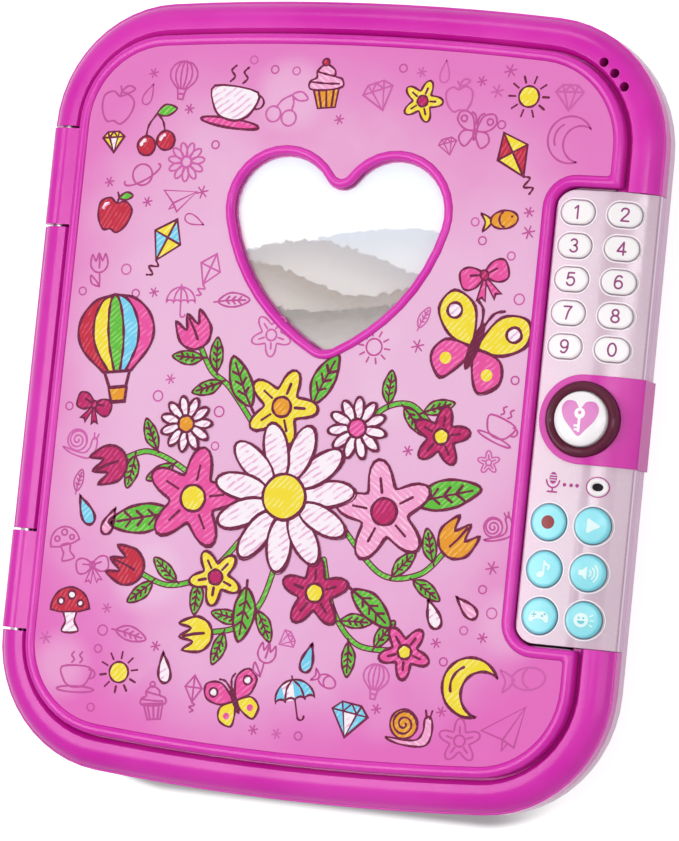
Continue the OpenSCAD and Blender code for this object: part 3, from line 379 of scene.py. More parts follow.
def board_skin():
    """Circuit board: solder mask with paler tracks and small round pads."""
    here = places()
    grid = node("TexBrick", {"offset": 0.5}, Vector=here, Scale=120.0, Mortar_Size=0.03,
                Color1=tint("#226b41"), Color2=tint("#27774a"), Mortar=tint("#3f9a64"))
    cells = node("TexVoronoi", Vector=here, Scale=260.0, Randomness=0.35)
    pad = span(cells.outputs["Distance"], 0.12, 0.16, 1.0, 0.0, True)
    return skinned(blend(pad, grid.outputs[0], tint("#c9b26a")), 0.35, grid.outputs[1], 0.3, 0.03)


def cell_wrap():
    """Battery sleeve: dark film with a coppery band, slightly scuffed."""
    here = places()
    scuff = noise(here, 300.0, 3.0, 0.6)
    dark = blend(span(scuff, 0.4, 0.7, 0.0, 0.3), tint("#33363b"), tint("#4a4e55"))
    band = span(axes(here)[1], -0.020, -0.019, 0.0, 1.0)
    return skinned(blend(band, dark, tint("#b98a4c")), 0.32, scuff, 0.2, 0.02, Metallic=0.3)


def clear_sheet():
    """Thin clear plastic that shows as a faint gloss, a white film thickening towards grazing
    angles as a painted reflection, and a few fine scratches.
    """
    scratch = noise(places((1.0, 0.05, 1.0), 0.9), 1400.0, 2.0, 0.6)
    grazing_reflection = node("LayerWeight", Blend=0.25).outputs["Fresnel"]
    return node("BsdfPrincipled", Base_Color=WHITE, Specular_IOR_Level=0.6,
                Roughness=span(scratch, 0.66, 0.78, 0.05, 0.22, True),
                # White shows more towards grazing angles: a painted reflection
                Alpha=span(grazing_reflection, 0.0, 1.0, 0.05, 0.6))


# Hills of the card, far to near: height and rise in metres, pace of the waves in radians
# a metre, phase and colour
HILLS = ((0.0520, 0.0050, 45.0, 0.4, "#c3c9d6"), (0.0460, 0.0055, 62.0, 2.1, "#a49ca0"),
         (0.0390, 0.0045, 80.0, 4.0, "#826e62"), (0.0320, 0.0035, 55.0, 5.2, "#57463c"))


def picture_card():
    """Card behind the window: misty hills under a pale sky."""
    here = places()
    across, up, _ = axes(here)
    view = blend(span(up, 0.040, 0.082, 0.0, 1.0, True), tint("#fdf8f6"), tint("#e9f2fa"))
    cloud = noise(places((1.0, 3.2, 1.0)), 34.0, 5.0, 0.6)
    view = blend(span(cloud, 0.52, 0.70, 0.0, 0.8, True), view, WHITE)
    for middle, rise, pace, phase, colour in HILLS:
        wave = calc("SINE", calc("MULTIPLY_ADD", across, pace, phase))
        crest = calc("ADD", calc("MULTIPLY_ADD", wave, rise, middle),
                     drift(here, 420.0, 4.0, 0.7, -0.0012, 0.0012))
        under = calc("SUBTRACT", crest, up)
        hill = blend(span(under, 0.0, 0.011, 0.0, 0.40), tint(colour), tint("#f3ece8"))
        view = blend(span(under, 0.0, 0.0006, 0.0, 1.0, True), view, hill)
    return node("BsdfPrincipled", Base_Color=view, Roughness=0.3)


PLASTICS = {
    "frame_plastic": dict(colour="#db18b2", rough=0.22, edge=0.35),
    "lid_plastic": dict(colour="#dd1ab3", rough=0.22),
    "rim_plastic": dict(colour="#df1eb5", rough=0.22, edge=0.2),
    "band_plastic": dict(colour="#d41aa9", rough=0.2, level=0.22, edge=0.4),
    "shell_plastic": dict(colour="#e8bfde", rough=0.34, edge=0.5, grain=700.0, grain_depth=0.03,
                          scuffs=0.015, sparkle_flakes=0.1),
    "tray_plastic": dict(colour="#ecb6da", rough=0.42, edge=0.4, grain=800.0, grain_depth=0.03,
                         scuffs=0.015),
    "panel_plastic": dict(colour="#d3b7c8", rough=0.13, level=0.5, edge=0.35, scuffs=0.004,
                          sparkle_flakes=0.25, colour_of=housing_tint_shade_and_highlight),
    "ring_plastic": dict(colour="#5a002c", rough=0.12, level=0.12, edge_highlight=0.02),
    "button_white": dict(colour="#fbf4f8", rough=0.2, scuffs=0.0, under=0.1),
    "key_white": dict(colour="#fcf6f8", rough=0.24, edge=0.35, edge_highlight=0.03, scuffs=0.0,
                      under=0.1),
    "button_aqua": dict(colour="#98ecf8", rough=0.24, scuffs=0.0, coat=0.1, under=0.15,
                        colour_of=aqua_rim_shade),
    "mat_rubber": dict(colour="#c4bfc8", rough=0.7, level=0.5, edge=0, grain=500.0,
                       grain_depth=0.05, scuffs=0.015),
    "speaker_black": dict(colour="#141215", rough=0.6, level=0.2, edge=0.2, edge_highlight=0.02,
                          grain=900.0, grain_depth=0.05, scuffs=0.015),
}
OTHERS = {"board": board_skin, "plain_metal": metal, "cell_skin": cell_wrap,
          "print_sheet": print_ground, "window_clear": clear_sheet, "card_paper": picture_card,
          "page_paper": paper, "cover_card": cover_stock}
materials = {name: material(name, plastic, **look) for name, look in PLASTICS.items()}
materials.update({name: material(name, make) for name, make in OTHERS.items()})

# Hatched inks: colour, hatch colour, amount, pitch in millimetres and turn in radians
HATCHED = {
    "plum": ("#6d1c40", "#8e3a62", 0.5, 1.3, 0.8),
    "white": ("#fbf0f8", "#e79bcf", 0.75, 2.0, 0.9),
    "rose": ("#e8529f", "#f58cc6", 0.7, 1.6, 0.8),
    "blush": ("#f3a3cf", "#fdd6ec", 0.7, 1.6, 2.2),
    "magenta": ("#bb2565", "#dd5a92", 0.7, 1.5, 0.6),
    "yellow": ("#f3dc35", "#faf2a0", 0.7, 1.5, 0.7),
    "orange": ("#e8992b", "#f6c765", 0.7, 1.5, 0.7),
    "red": ("#c22a42", "#e2667a", 0.6, 1.4, 0.5),
    "green": ("#5fbb3b", "#a5e07c", 0.7, 1.4, 0.8),
    "blue": ("#74cdee", "#b9ecfb", 0.7, 1.5, 0.8),
}
# Plain inks: colour, roughness and specular level
PLAIN = {
    "line": ("#c4539c", 0.5, 0.12),
    "soft": ("#cf62ab", 0.5, 0.12),
    "digit": ("#9a4480", 0.5, 0.12),
    "mauve": ("#b44a92", 0.5, 0.12),
    "icon": ("#e4fbfa", 0.3, 0.3),
    "record": ("#983c3e", 0.3, 0.2),
    "lockheart": ("#e084c8", 0.3, 0.3),
    "aqua": ("#6fcbdb", 0.3, 0.3),
    "white_face": ("#fdf6fb", 0.25, 0.3),
    # pearl: lines of the microphone sign, and the painted highlights round keys and buttons
    "pearl": ("#fbf4f9", 0.3, 0.3),
}
inks = {tone: material("ink_" + tone, ink, *look) for tone, look in HATCHED.items()}
inks.update({tone: material("ink_" + tone, ink, colour, rough=rough, level=level)
             for tone, (colour, rough, level) in PLAIN.items()})


# CAD nodes: the record's slot picks the finish

# Curved skins, with the angle in degrees above which an edge stays sharp
SMOOTHED = {"top_frame": 38, "back_shell": 32, "lid_shell": 38, "heart_rim": 40,
            "keypad_panel": 35, "latch_band": 35, "inner_tray": 30}
CAP_ANGLE = 30
# Vertices nearer than this many metres are welded
WELD = 0.000002
# The lock cap's printed face lies in a shallow dish
DISH = 0.09


def smooth_twin(name, angle):
    """A copy of a node with its curved skin shaded smooth, which stands for it."""
    source = frame["nodes"][name]
    mesh = source.data.copy()
    mesh.name = name + "_skin"
    twin = bpy.data.objects.new(name + "_skin", mesh)
    scene.collection.objects.link(twin)
    work = bmesh.new()
    work.from_mesh(mesh)
    bmesh.ops.remove_doubles(work, verts=work.verts, dist=WELD)
    for face in work.faces:
        face.smooth = True
    work.to_mesh(mesh)
    work.free()
    old = mesh.attributes.get("custom_normal")
    if old:
        mesh.attributes.remove(old)
    mesh.set_sharp_from_angle(angle=math.radians(angle))
    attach(twin, source["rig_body"])
    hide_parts(name)
    return twin


for cad in list(frame["nodes"].values()):
    for place in cad.material_slots:
        place.material = materials[place.material.name.split(".")[0]]
frame["nodes"]["microphone"].material_slots[0].material = materials["speaker_black"]
for node_name, sharp in SMOOTHED.items():
    smooth_twin(node_name, sharp)
cap_skin = smooth_twin("lock_button", CAP_ANGLE)
cap_top = max(vert.co.z for vert in cap_skin.data.vertices)
for vert in cap_skin.data.vertices:
    vert.co.z = min(vert.co.z, cap_top - DISH * MM)


# Flat shapes in millimetres

def ring(cx, cy, rx, ry=None, n=26, a0=0.0, a1=360.0, turn=0.0):
    ry = rx if ry is None else ry
    whole = abs(a1 - a0) >= 360
    count = n if whole else n + 1
    c, s = math.cos(math.radians(turn)), math.sin(math.radians(turn))
    out = []
    for i in range(count):
        a = math.radians(a0 + (a1 - a0) * i / n)
        x, y = rx * math.cos(a), ry * math.sin(a)
        out.append((cx + c * x - s * y, cy + s * x + c * y))
    return out


def curve(points, closed=False, n=6):
    """Smooth line through the points."""
    count = len(points)
    out = []
    for i in range(count if closed else count - 1):
        p = [points[(i + k) % count] if closed else points[min(max(i + k, 0), count - 1)]
             for k in (-1, 0, 1, 2)]
        for j in range(n):
            t = j / n
            out.append(tuple(
                0.5 * (2 * p[1][d] + (p[2][d] - p[0][d]) * t
                       + (2 * p[0][d] - 5 * p[1][d] + 4 * p[2][d] - p[3][d]) * t * t
                       + (3 * p[1][d] - p[0][d] - 3 * p[2][d] + p[3][d]) * t ** 3)
                for d in (0, 1)))
    if not closed:
        out.append(points[-1])
    return out


def polar(reach, angle):
    return reach * math.cos(angle), reach * math.sin(angle)


def flip(points):
    return [(-x, y) for x, y in reversed(points)]

def add_piece(name, mesh, material):
    mesh.materials.append(material)
    piece = bpy.data.objects.new(name, mesh)
    scene.collection.objects.link(piece)
    return piece


class Print:
    """Gathers flat shapes by ink and makes one mesh for each ink."""

    def __init__(self, name, body, slot, place, level=0.0):
        self.name = name
        self.body = body
        self.slot = slot
        self.place = place
        self.level = level
        self.layers = {}
        self.count = 0

    def store(self, tone):
        return self.layers.setdefault(tone, ([], []))

    def lift(self, up):
        """Height of the next shape, a hair over the last, so that no two lie in one plane."""
        self.count += 1
        return self.level + up + LIFT_STEP * (self.count % LIFT_STEPS)

    def fill(self, tone, points, up=0.0):
        verts, faces = self.store(tone)
        start = len(verts)
        z = self.lift(up)
        verts += [(x, y, z) for x, y in points]
        for tri in tessellate_polygon([[Vector((x, y, 0)) for x, y in points]]):
            faces.append([start + i for i in tri])

    def line(self, tone, points, width, closed=False, up=0.0, wobble=0.0):
        verts, faces = self.store(tone)
        count = len(points)
        start = len(verts)
        z = self.lift(up)
        phase = rng.uniform(0, 6)
        for i, (x, y) in enumerate(points):
            before = points[(i - 1) % count] if closed or i > 0 else points[i]
            after = points[(i + 1) % count] if closed or i < count - 1 else points[i]
            one = Vector((x - before[0], y - before[1]))
            two = Vector((after[0] - x, after[1] - y))
            one = (one if one.length > NO_STEP else two).normalized()
            two = (two if two.length > NO_STEP else one).normalized()
            along = one + two
            along = along.normalized() if along.length > NO_TURN else one
            nx, ny = -along.y, along.x
            half = width / 2 * (1 + wobble * math.sin(phase + i * 1.3))
            half /= max(LEAST_MITRE, along.dot(one))
            verts.append((x + nx * half, y + ny * half, z))
            verts.append((x - nx * half, y - ny * half, z))
        for i in range(count if closed else count - 1):
            a, b = start + 2 * i, start + 2 * ((i + 1) % count)
            faces.append([a, a + 1, b + 1, b])
        if not closed:
            for x, y in (points[0], points[-1]):
                self.fill(tone, ring(x, y, width / 2, n=8), up)

    def build(self, fine=None):
        """Makes the meshes; fine is the longest edge left in millimetres, to follow a curve."""
        for tone, (verts, faces) in self.layers.items():
            mesh = bpy.data.meshes.new(self.name + "_" + tone)
            mesh.from_pydata(verts, [], faces)
            work = bmesh.new()
            work.from_mesh(mesh)
            for _ in range(SPLIT_ROUNDS if fine else 0):
                long_edges = [edge for edge in work.edges if edge.calc_length() > fine]
                if not long_edges:
                    break
                bmesh.ops.subdivide_edges(work, edges=long_edges, cuts=1)
                bmesh.ops.triangulate(work, faces=work.faces)
            for vert in work.verts:
                vert.co = self.place(vert.co.x, vert.co.y, vert.co.z)
            bmesh.ops.recalc_face_normals(work, faces=work.faces)
            for face in work.faces:
                if face.normal.z < 0:
                    face.normal_flip()
            work.to_mesh(mesh)
            work.free()
            piece = add_piece(self.name + "_" + tone, mesh, inks[tone])
            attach(piece, self.body)


# Motifs, drawn in a circle of radius 1: (fill or line, tone, points, closed)

def area(tone, points):
    return "fill", tone, points, True


def pen(points, closed=False, tone="plum"):
    return "line", tone, points, closed


def solid(tone, points):
    """A filled shape with its outline."""
    return [area(tone, points), pen(points, True)]


def spoke(angle, near, far):
    return pen([polar(near, angle), polar(far, angle)])


def turns(count, whole=2 * math.pi):
    return [whole * i / count for i in range(count)]


def flower(a="rose", b="yellow", petals=5):
    outline = [polar(0.70 + 0.24 * math.cos(petals * t), t) for t in turns(60)]
    creases = [spoke(t, 0.34, 0.6) for t in turns(petals)]
    return [*solid(a, outline), *creases, *solid(b, ring(0, 0, 0.24))]


def daisy(a="white", b="yellow", petals=11):
    out = []
    for t in turns(petals, 360):
        out += solid(a, ring(*polar(0.60, math.radians(t)), 0.36, 0.165, 20, turn=t))
    return out + solid(b, ring(0, 0, 0.29))


def tulip_cup(a="rose"):
    cup = curve([(-0.4, 0.85), (-0.52, 0.3), (-0.32, -0.05), (0, -0.16), (0.32, -0.05),
                 (0.52, 0.3), (0.4, 0.85), (0.2, 0.5), (0, 0.9), (-0.2, 0.5)], True, 5)
    return solid(a, cup) + [pen([(0, 0.78), (0.02, 0.4), (0, 0.1)])]


def tulip(a="rose", b="green"):
    stem = [(0, -0.16), (0.02, -0.55), (0, -0.95)]
    blade = curve([(0, -0.9), (-0.5, -0.3), (-0.46, -0.75)], True, 6)
    return [pen(stem), pen(stem, tone="green"), *solid(b, blade), *tulip_cup(a)]


def leaf(a="green"):
    shape = curve([(-0.9, -0.1), (-0.35, 0.36), (0.35, 0.36), (0.95, 0.05), (0.35, -0.3),
                   (-0.35, -0.36)], True, 5)
    veins = [pen([(x, 0), (x + 0.2, s * 0.2)]) for x in (-0.45, -0.1, 0.25) for s in (-1, 1)]
    return [*solid(a, shape), pen([(-1.15, -0.14), (-0.5, -0.04), (0.7, 0.03)]), *veins]


def butterfly(a="yellow", b="rose"):
    upper = curve([(0.06, 0.1), (0.3, 0.72), (0.82, 0.86), (0.98, 0.42), (0.6, 0.04),
                   (0.1, -0.02)], True, 5)
    lower = curve([(0.08, -0.05), (0.6, -0.08), (0.76, -0.48), (0.42, -0.8), (0.12, -0.4)],
                  True, 5)
    feeler = curve([(0.02, 0.4), (0.12, 0.72), (0.3, 0.85)])
    out = []
    for side in (list, flip):
        out += [*solid(a, side(upper)), *solid(b, side(lower)),
                *solid("white", side(ring(0.66, 0.5, 0.15, n=14))),
                area(a, side(ring(0.46, -0.42, 0.12, n=14))), pen(side(feeler))]
    return out + solid("plum", ring(0, 0, 0.08, 0.45, 16))


def moon(a="yellow"):
    shape = ring(0, 0, 0.9, n=26, a0=50, a1=310) + ring(0.45, 0, 0.70, n=22, a0=-79.4, a1=-280.6)
    return solid(a, shape) + [pen(ring(0.02, 0, 0.66, n=10, a0=140, a1=220))]


def balloon():
    half = [(0.0, 0.95), (0.34, 0.88), (0.6, 0.66), (0.72, 0.36), (0.66, 0.05), (0.46, -0.2),
            (0.26, -0.4)]
    seams = [curve([(x * cut, y) for x, y in half], False, 4)
             for cut in (-1.0, -0.6, -0.2, 0.2, 0.6, 1.0)]
    tones = ("red", "yellow", "green", "blue", "rose")
    out = [area(tone, left + right[::-1]) for tone, left, right in zip(tones, seams, seams[1:])]
    basket = [(-0.17, -0.66), (0.17, -0.66), (0.13, -0.92), (-0.13, -0.92)]
    return out + [pen(seam) for seam in seams] + [
        pen([(-0.26, -0.4), (0.26, -0.4)]), pen([(-0.24, -0.4), (-0.16, -0.66)]),
        pen([(0.24, -0.4), (0.16, -0.66)]), *solid("orange", basket)]


def kite(a="blue", b="yellow"):
    top, right, low, left = (0, 0.95), (0.5, 0.3), (0, -0.5), (-0.5, 0.3)
    mid = (0, 0.3)
    tail = curve([(0, -0.5), (0.16, -0.64), (-0.12, -0.78), (0.12, -0.93), (-0.05, -1.05)])
    return [area(a, [top, right, mid]), area(b, [right, low, mid]), area(a, [low, left, mid]),
            area(b, [left, top, mid]), pen([top, right, low, left], True), pen([top, mid, low]),
            pen([left, mid, right]), pen(tail)]


def cherries(a="red", b="green"):
    one, two = (-0.38, -0.48), (0.36, -0.36)
    blade = curve([(0.08, 0.62), (0.42, 0.9), (0.82, 0.72), (0.45, 0.5)], True, 5)
    return [pen(curve([(-0.38, -0.16), (-0.25, 0.25), (0.08, 0.62)])),
            pen(curve([(0.34, -0.03), (0.28, 0.32), (0.08, 0.62)])), *solid(b, blade),
            *solid(a, ring(*one, 0.34, n=22)), *solid(a, ring(*two, 0.34, n=22)),
            pen(ring(*one, 0.2, n=6, a0=100, a1=165), tone="white"),
            pen(ring(*two, 0.2, n=6, a0=100, a1=165), tone="white")]


def cupcake(a="blush", b="orange"):
    cup = [(-0.5, -0.1), (0.5, -0.1), (0.34, -0.85), (-0.34, -0.85)]
    top = curve([(-0.62, -0.12), (-0.62, 0.16), (-0.36, 0.28), (-0.34, 0.52), (0, 0.74),
                 (0.34, 0.52), (0.36, 0.28), (0.62, 0.16), (0.62, -0.12), (0, -0.2)], True, 4)
    folds = [pen([(0.3 * k, -0.16), (0.2 * k, -0.82)]) for k in (-1, 0, 1)]
    return [*solid(b, cup), *folds, *solid(a, top),
            pen(curve([(-0.34, 0.5), (0, 0.38), (0.36, 0.28)])),
            pen(curve([(-0.6, 0.14), (0, 0.04), (0.5, 0.0)])),
            *solid("red", ring(0, 0.82, 0.13, n=12))]


def bow(a="rose"):
    loop = curve([(0.02, 0.02), (0.45, 0.42), (0.92, 0.34), (0.92, -0.3), (0.45, -0.38)], True, 5)
    tail = [(0.05, -0.1), (0.5, -0.85), (0.28, -0.8), (0.18, -0.98), (-0.05, -0.1)]
    out = []
    for side in (list, flip):
        out += [*solid(a, side(tail)), *solid(a, side(loop)),
                pen(side([(0.2, 0.05), (0.55, 0.12)]))]
    return out + solid("magenta", ring(0, 0, 0.16, 0.2, 14))


def umbrella(a="blue", b="white"):
    scallops = []
    for k in range(4):
        scallops += ring(0.645 - 0.43 * k, 0.0, 0.215, 0.13, 5, 0, 180)[:-1]
    dome = ring(0, 0, 0.86, 0.84, 20, 180, 0)
    whole = dome + scallops[1:]
    handle = [(0, 0.98), (0, -0.66), *ring(0.14, -0.68, 0.14, n=6, a0=180, a1=360)]
    half = [p for p in dome if p[0] <= 0.001] + [(0, 0.02), (-0.43, 0.0)]
    return [pen(handle), area(a, whole), area(b, half[6:]), pen(whole, True),
            pen(curve([(0, 0.86), (-0.3, 0.5), (-0.43, 0.0)])),
            pen(curve([(0, 0.86), (0.3, 0.5), (0.43, 0.0)]))]


def mushroom(a="red", b="white"):
    cap = ring(0, 0.0, 0.78, 0.8, 20, 0, 180) + [(-0.4, -0.1), (0.4, -0.1)]
    stem = curve([(-0.24, -0.08), (-0.18, -0.45), (-0.32, -0.82), (0.32, -0.82), (0.18, -0.45),
                  (0.24, -0.08)], True, 4)
    dots = [ring(-0.36, 0.3, 0.13, n=10), ring(0.08, 0.52, 0.15, n=10), ring(0.42, 0.2, 0.12, n=10)]
    return [*solid(b, stem), *solid(a, cap), *[area("white", dot) for dot in dots],
            *[pen(dot, True) for dot in dots]]


def planet(a="blue", b="yellow"):
    return solid(a, ring(0, 0, 0.52)) + [pen(ring(0, 0, 0.98, 0.24, 20, 155, 385, 18), tone=b),
                                         pen(ring(0, 0, 1.04, 0.3, 20, 160, 380, 18))]


def teacup(a="white", b="rose"):
    bowl = curve([(-0.6, 0.25), (0.6, 0.25), (0.5, -0.3), (0.2, -0.52), (-0.2, -0.52),
                  (-0.5, -0.3)], True, 4)
    return [*solid(b, ring(0, -0.62, 0.8, 0.12, 22)),
            pen(ring(0.62, 0.0, 0.2, 0.18, 10, -100, 110)), *solid(a, bowl),
            pen(curve([(-0.2, 0.42), (-0.1, 0.56), (-0.22, 0.7), (-0.12, 0.84)])),
            pen(curve([(0.15, 0.42), (0.25, 0.56), (0.13, 0.7), (0.23, 0.84)]))]


def sun(a="yellow"):
    return solid(a, ring(0, 0, 0.45)) + [spoke(t, 0.62, 0.9) for t in turns(10)]


def gem(a="blue", b="white"):
    whole = [(-0.78, 0.25), (-0.42, 0.62), (0.42, 0.62), (0.78, 0.25), (0, -0.75)]
    return [area(a, whole), area(b, [(-0.3, 0.25), (0.3, 0.25), (0, -0.75)]), pen(whole, True),
            pen([(-0.78, 0.25), (0.78, 0.25)]), pen([(-0.3, 0.25), (0, -0.75), (0.3, 0.25)]),
            pen([(-0.42, 0.62), (-0.3, 0.25), (0, 0.62), (0.3, 0.25), (0.42, 0.62)])]


def snail(a="orange", b="blush"):
    body = curve([(-0.75, -0.6), (0.3, -0.62), (0.62, -0.3), (0.66, 0.2), (0.9, 0.2),
                  (0.95, -0.35), (0.7, -0.78), (-0.2, -0.8)], True, 5)
    coil = [(x - 0.12, y - 0.08) for x, y in
            (polar(0.5 - 0.014 * i, 0.42 * i) for i in range(32))]
    return [*solid(b, body), *solid(a, ring(-0.12, -0.08, 0.52)), pen(coil),
            pen([(0.72, 0.2), (0.66, 0.48)]), pen([(0.84, 0.2), (0.9, 0.48)])]


def apple(a="red", b="green"):
    body = curve([(0, 0.42), (0.36, 0.58), (0.74, 0.3), (0.68, -0.3), (0.34, -0.76), (0, -0.68),
                  (-0.34, -0.76), (-0.68, -0.3), (-0.74, 0.3), (-0.36, 0.58)], True, 4)
    blade = curve([(0.05, 0.66), (0.3, 0.96), (0.62, 0.88), (0.36, 0.64)], True, 5)
    return [*solid(a, body), pen(curve([(0, 0.42), (0.02, 0.66), (-0.08, 0.86)])),
            *solid(b, blade), pen(ring(-0.3, 0.1, 0.24, n=6, a0=110, a1=180), tone="white")]


def fish(a="orange", b="yellow"):
    tail = curve([(-0.46, 0.0), (-0.95, 0.42), (-0.8, 0.0), (-0.95, -0.42)], True, 4)
    return [*solid(b, tail), *solid(a, ring(0.12, 0, 0.66, 0.42, 26)),
            pen(ring(0.18, 0, 0.3, 0.36, 8, 110, 250)), area("plum", ring(0.5, 0.1, 0.06, n=8))]


def plane(a="white", b="blush"):
    wing = [(-0.9, 0.1), (0.95, 0.75), (-0.1, -0.35)]
    fold = [(-0.1, -0.35), (0.95, 0.75), (0.3, -0.7)]
    return [area(a, wing), area(b, fold), pen(wing, True), pen(fold, True),
            pen([(-0.1, -0.35), (-0.2, -0.75), (0.08, -0.5)])]


def drop_petal(a="white"):
    return solid(a, [(0.56 * math.sin(t) * math.sin(t / 2) ** 1.4, 0.92 * math.cos(t))
                     for t in map(math.radians, turns(28, 360))])


MOTIFS = [flower, daisy, tulip, leaf, butterfly, moon, balloon, kite, cherries, cupcake, bow,
          umbrella, mushroom, planet, teacup, sun, gem, snail, apple, fish, plane]


def draw(sheet, shapes, x, y, size, turn, width, only=None, level=0.0):
    """Puts a motif on a sheet; with only=tone it is drawn as plain lines in that ink."""
    c, s = math.cos(math.radians(turn)), math.sin(math.radians(turn))

    def put(points):
        return [(x + size * (c * px - s * py), y + size * (s * px + c * py)) for px, py in points]

    if only:
        for kind, tone, points, closed in shapes:
            if kind == "line" and tone == "plum":
                sheet.line(only, put(points), width, closed, wobble=0.12)
        return
    sheet.count = 0
    for kind, tone, points, closed in shapes:
        if kind == "fill":
            sheet.fill(tone, put(points), level)
            continue
        wide = width if tone == "plum" else width * 1.5
        sheet.line(tone, put(points), wide, closed, level, wobble=0.22)
        if closed and size > TWICE_DRAWN and tone == "plum":
            pushed = [(px * 1.02 + 0.012, py * 1.02 - 0.016) for px, py in points]
            sheet.line(tone, put(pushed), wide * 0.45, closed, level, wobble=0.5)


def on_lid(x, y, z):
    return spot(x, y, PRINT_Z + z)


# Large colour group across the middle of the lid, with stalks, leaves and petals
picture = Print("lid_picture", "lid", "print_sheet", on_lid, 0.04)
# Stalk: path, bloom, its tones and its size
STALKS = [
    ([(-30, -38), (-44, -27), (-57, -22), (-66, -25)], tulip_cup, ("magenta",), 12.0),
    ([(-20, -46), (-32, -60), (-45, -65), (-56, -62)], tulip_cup, ("red",), 12.0),
    ([(14, -42), (28, -55), (41, -54), (49, -46)], tulip_cup, ("orange",), 12.0),
    ([(12, -16), (22, -3), (32, 0), (40, -6)], flower, ("magenta", "yellow"), 10.5),
    ([(-20, -12), (-31, 1), (-38, 6), (-43, 14)], tulip_cup, ("rose",), 11.5),
    ([(-8, -52), (-12, -67), (-19, -76), (-29, -79)], tulip_cup, ("yellow",), 11.0),
    ([(8, -52), (13, -68), (22, -78), (34, -79)], flower, ("rose", "yellow"), 9.5),
]
# Leaves of a stalk: share of its length and side
STALK_LEAVES = ((0.42, 1), (0.62, -1), (0.82, 1))
LEAF_SIZE = 5.8
LEAF_LEAN = 0.95
LEAF_REACH = 6.6
LEAF_MIDDLE = 6.0
LEAF_ROOM = 5.0
stalk_ends = []
for path, bloom, tones, size in STALKS:
    way = curve(path, False, 10)
    picture.count = 0
    picture.line("plum", way, 2.1)
    picture.line("green", way, 1.2, up=0.02)
    for share, side in STALK_LEAVES:
        k = int(share * (len(way) - 1))
        (x0, y0), (x1, y1) = way[k - 1], way[k + 1]
        lean = math.atan2(y1 - y0, x1 - x0) + side * LEAF_LEAN
        (x, y), (dx, dy), (ex, ey) = way[k], polar(LEAF_REACH, lean), polar(LEAF_MIDDLE, lean)
        draw(picture, leaf("green"), x + dx, y + dy, LEAF_SIZE, math.degrees(lean), FINE_LINE,
             level=0.06)
        stalk_ends.append((x + ex, y + ey, LEAF_ROOM))
    (x0, y0), (x1, y1) = way[-3], way[-1]
    lean = math.atan2(y1 - y0, x1 - x0)
    dx, dy = polar(size * (0.1 if bloom is tulip_cup else 0.5), lean)
    x, y = x1 + dx, y1 + dy
    draw(picture, bloom(*tones), x, y, size, math.degrees(lean) - 90, BOLD_LINE, level=0.12)
    stalk_ends.append((x, y, size * 0.8))
# Motif, its tones, middle, size, turn and rank; a higher rank lies on top
GROUP = [
    (drop_petal, ("blue",), -78, -43, 5.6, 30, 1), (drop_petal, ("blush",), -69, -46, 5.0, -20, 1),
    (drop_petal, ("white",), -44, -92, 5.4, 10, 1), (drop_petal, ("blue",), 6, -84, 5.2, -12, 1),
    (drop_petal, ("white",), 47, -66, 5.4, 24, 1), (drop_petal, ("blush",), 58, -63, 5.0, 50, 1),
    (leaf, ("green",), -58, -44, 12.0, 190, 1), (leaf, ("green",), 48, -28, 12.0, 12, 1),
    (leaf, ("green",), -27, 3, 9.5, 112, 1), (leaf, ("green",), 2, 6, 9.5, 62, 1),
    (leaf, ("green",), -18, -72, 9.5, 262, 1), (leaf, ("green",), 26, -66, 9.5, 318, 1),
    (flower, ("rose", "yellow"), -40, -36, 18.0, 10, 2),
    (flower, ("blush", "magenta"), 27, -35, 18.0, 30, 2),
    (flower, ("yellow", "orange"), -12, -4, 13.5, 0, 2),
    (flower, ("magenta", "yellow"), 6, -63, 12.5, 20, 2),
    (daisy, ("white", "yellow"), -8, -33, 25.5, 8, 3),
    (flower, ("yellow", "magenta"), -29, -61, 10.0, 50, 4),
    (daisy, ("white", "rose"), 15, -9, 10.5, 25, 4),
    (daisy, ("white", "orange"), -45, -12, 9.5, 5, 4),
    (balloon, (), -73, 11, 19.0, 8, 1), (butterfly, ("yellow", "rose"), 52, 20, 16.5, -18, 1),
    (moon, ("yellow",), 62, -88, 10.5, -25, 1),
]
for motif, tones, x, y, size, turn, rank in GROUP:
    draw(picture, motif(*tones), x, y, size, turn, BOLD_LINE, level=0.1 * rank)

# Small colour accents: motif, its tones, middle, size and turn
ACCENTS = [
    (cherries, ("red", "green"), -67, 84, 9.5, 8), (teacup, ("white", "rose"), -40, 96, 13.0, -6),
    (kite, ("yellow", "red"), 60, 80, 11.0, 30), (sun, ("yellow",), 62, 101, 7.5, 0),
    (apple, ("red", "green"), -79, 56, 8.0, -10), (bow, ("rose",), 53, 43, 8.5, 18),
    (mushroom, ("red", "white"), -80, -76, 9.0, 6), (gem, ("blue", "white"), 22, -102, 8.0, -8),
    (sun, ("yellow",), -60, -95, 7.5, 12), (butterfly, ("rose", "yellow"), -18, -100, 9.5, 24),
    (snail, ("orange", "blush"), 42, -101, 9.0, 0), (umbrella, ("blue", "white"), 3, -98, 8.0, 14),
    (kite, ("blue", "yellow"), -60, 46, 10.5, -24), (flower, ("yellow", "magenta"), 26, 98, 7.5, 0),
    (cupcake, ("blush", "orange"), -8, 102, 9.0, 6), (fish, ("orange", "yellow"), 57, 61, 7.0, 10),
    (bow, ("magenta",), -79, -8, 6.5, -14), (gem, ("yellow", "white"), -82, 80, 5.0, 6),
]
for motif, tones, x, y, size, turn in ACCENTS:
    draw(picture, motif(*tones), x, y, size, turn, FINE_LINE)

# Half widths of the heart rim by height over its middle
HEART_HALF = ((-46.0, 0.0), (-42.0, 5.0), (-32.0, 18.0), (-22.0, 28.0), (-12.0, 35.5),
              (0.0, 39.6), (8.0, 38.5), (14.0, 34.5), (20.5, 22.0))
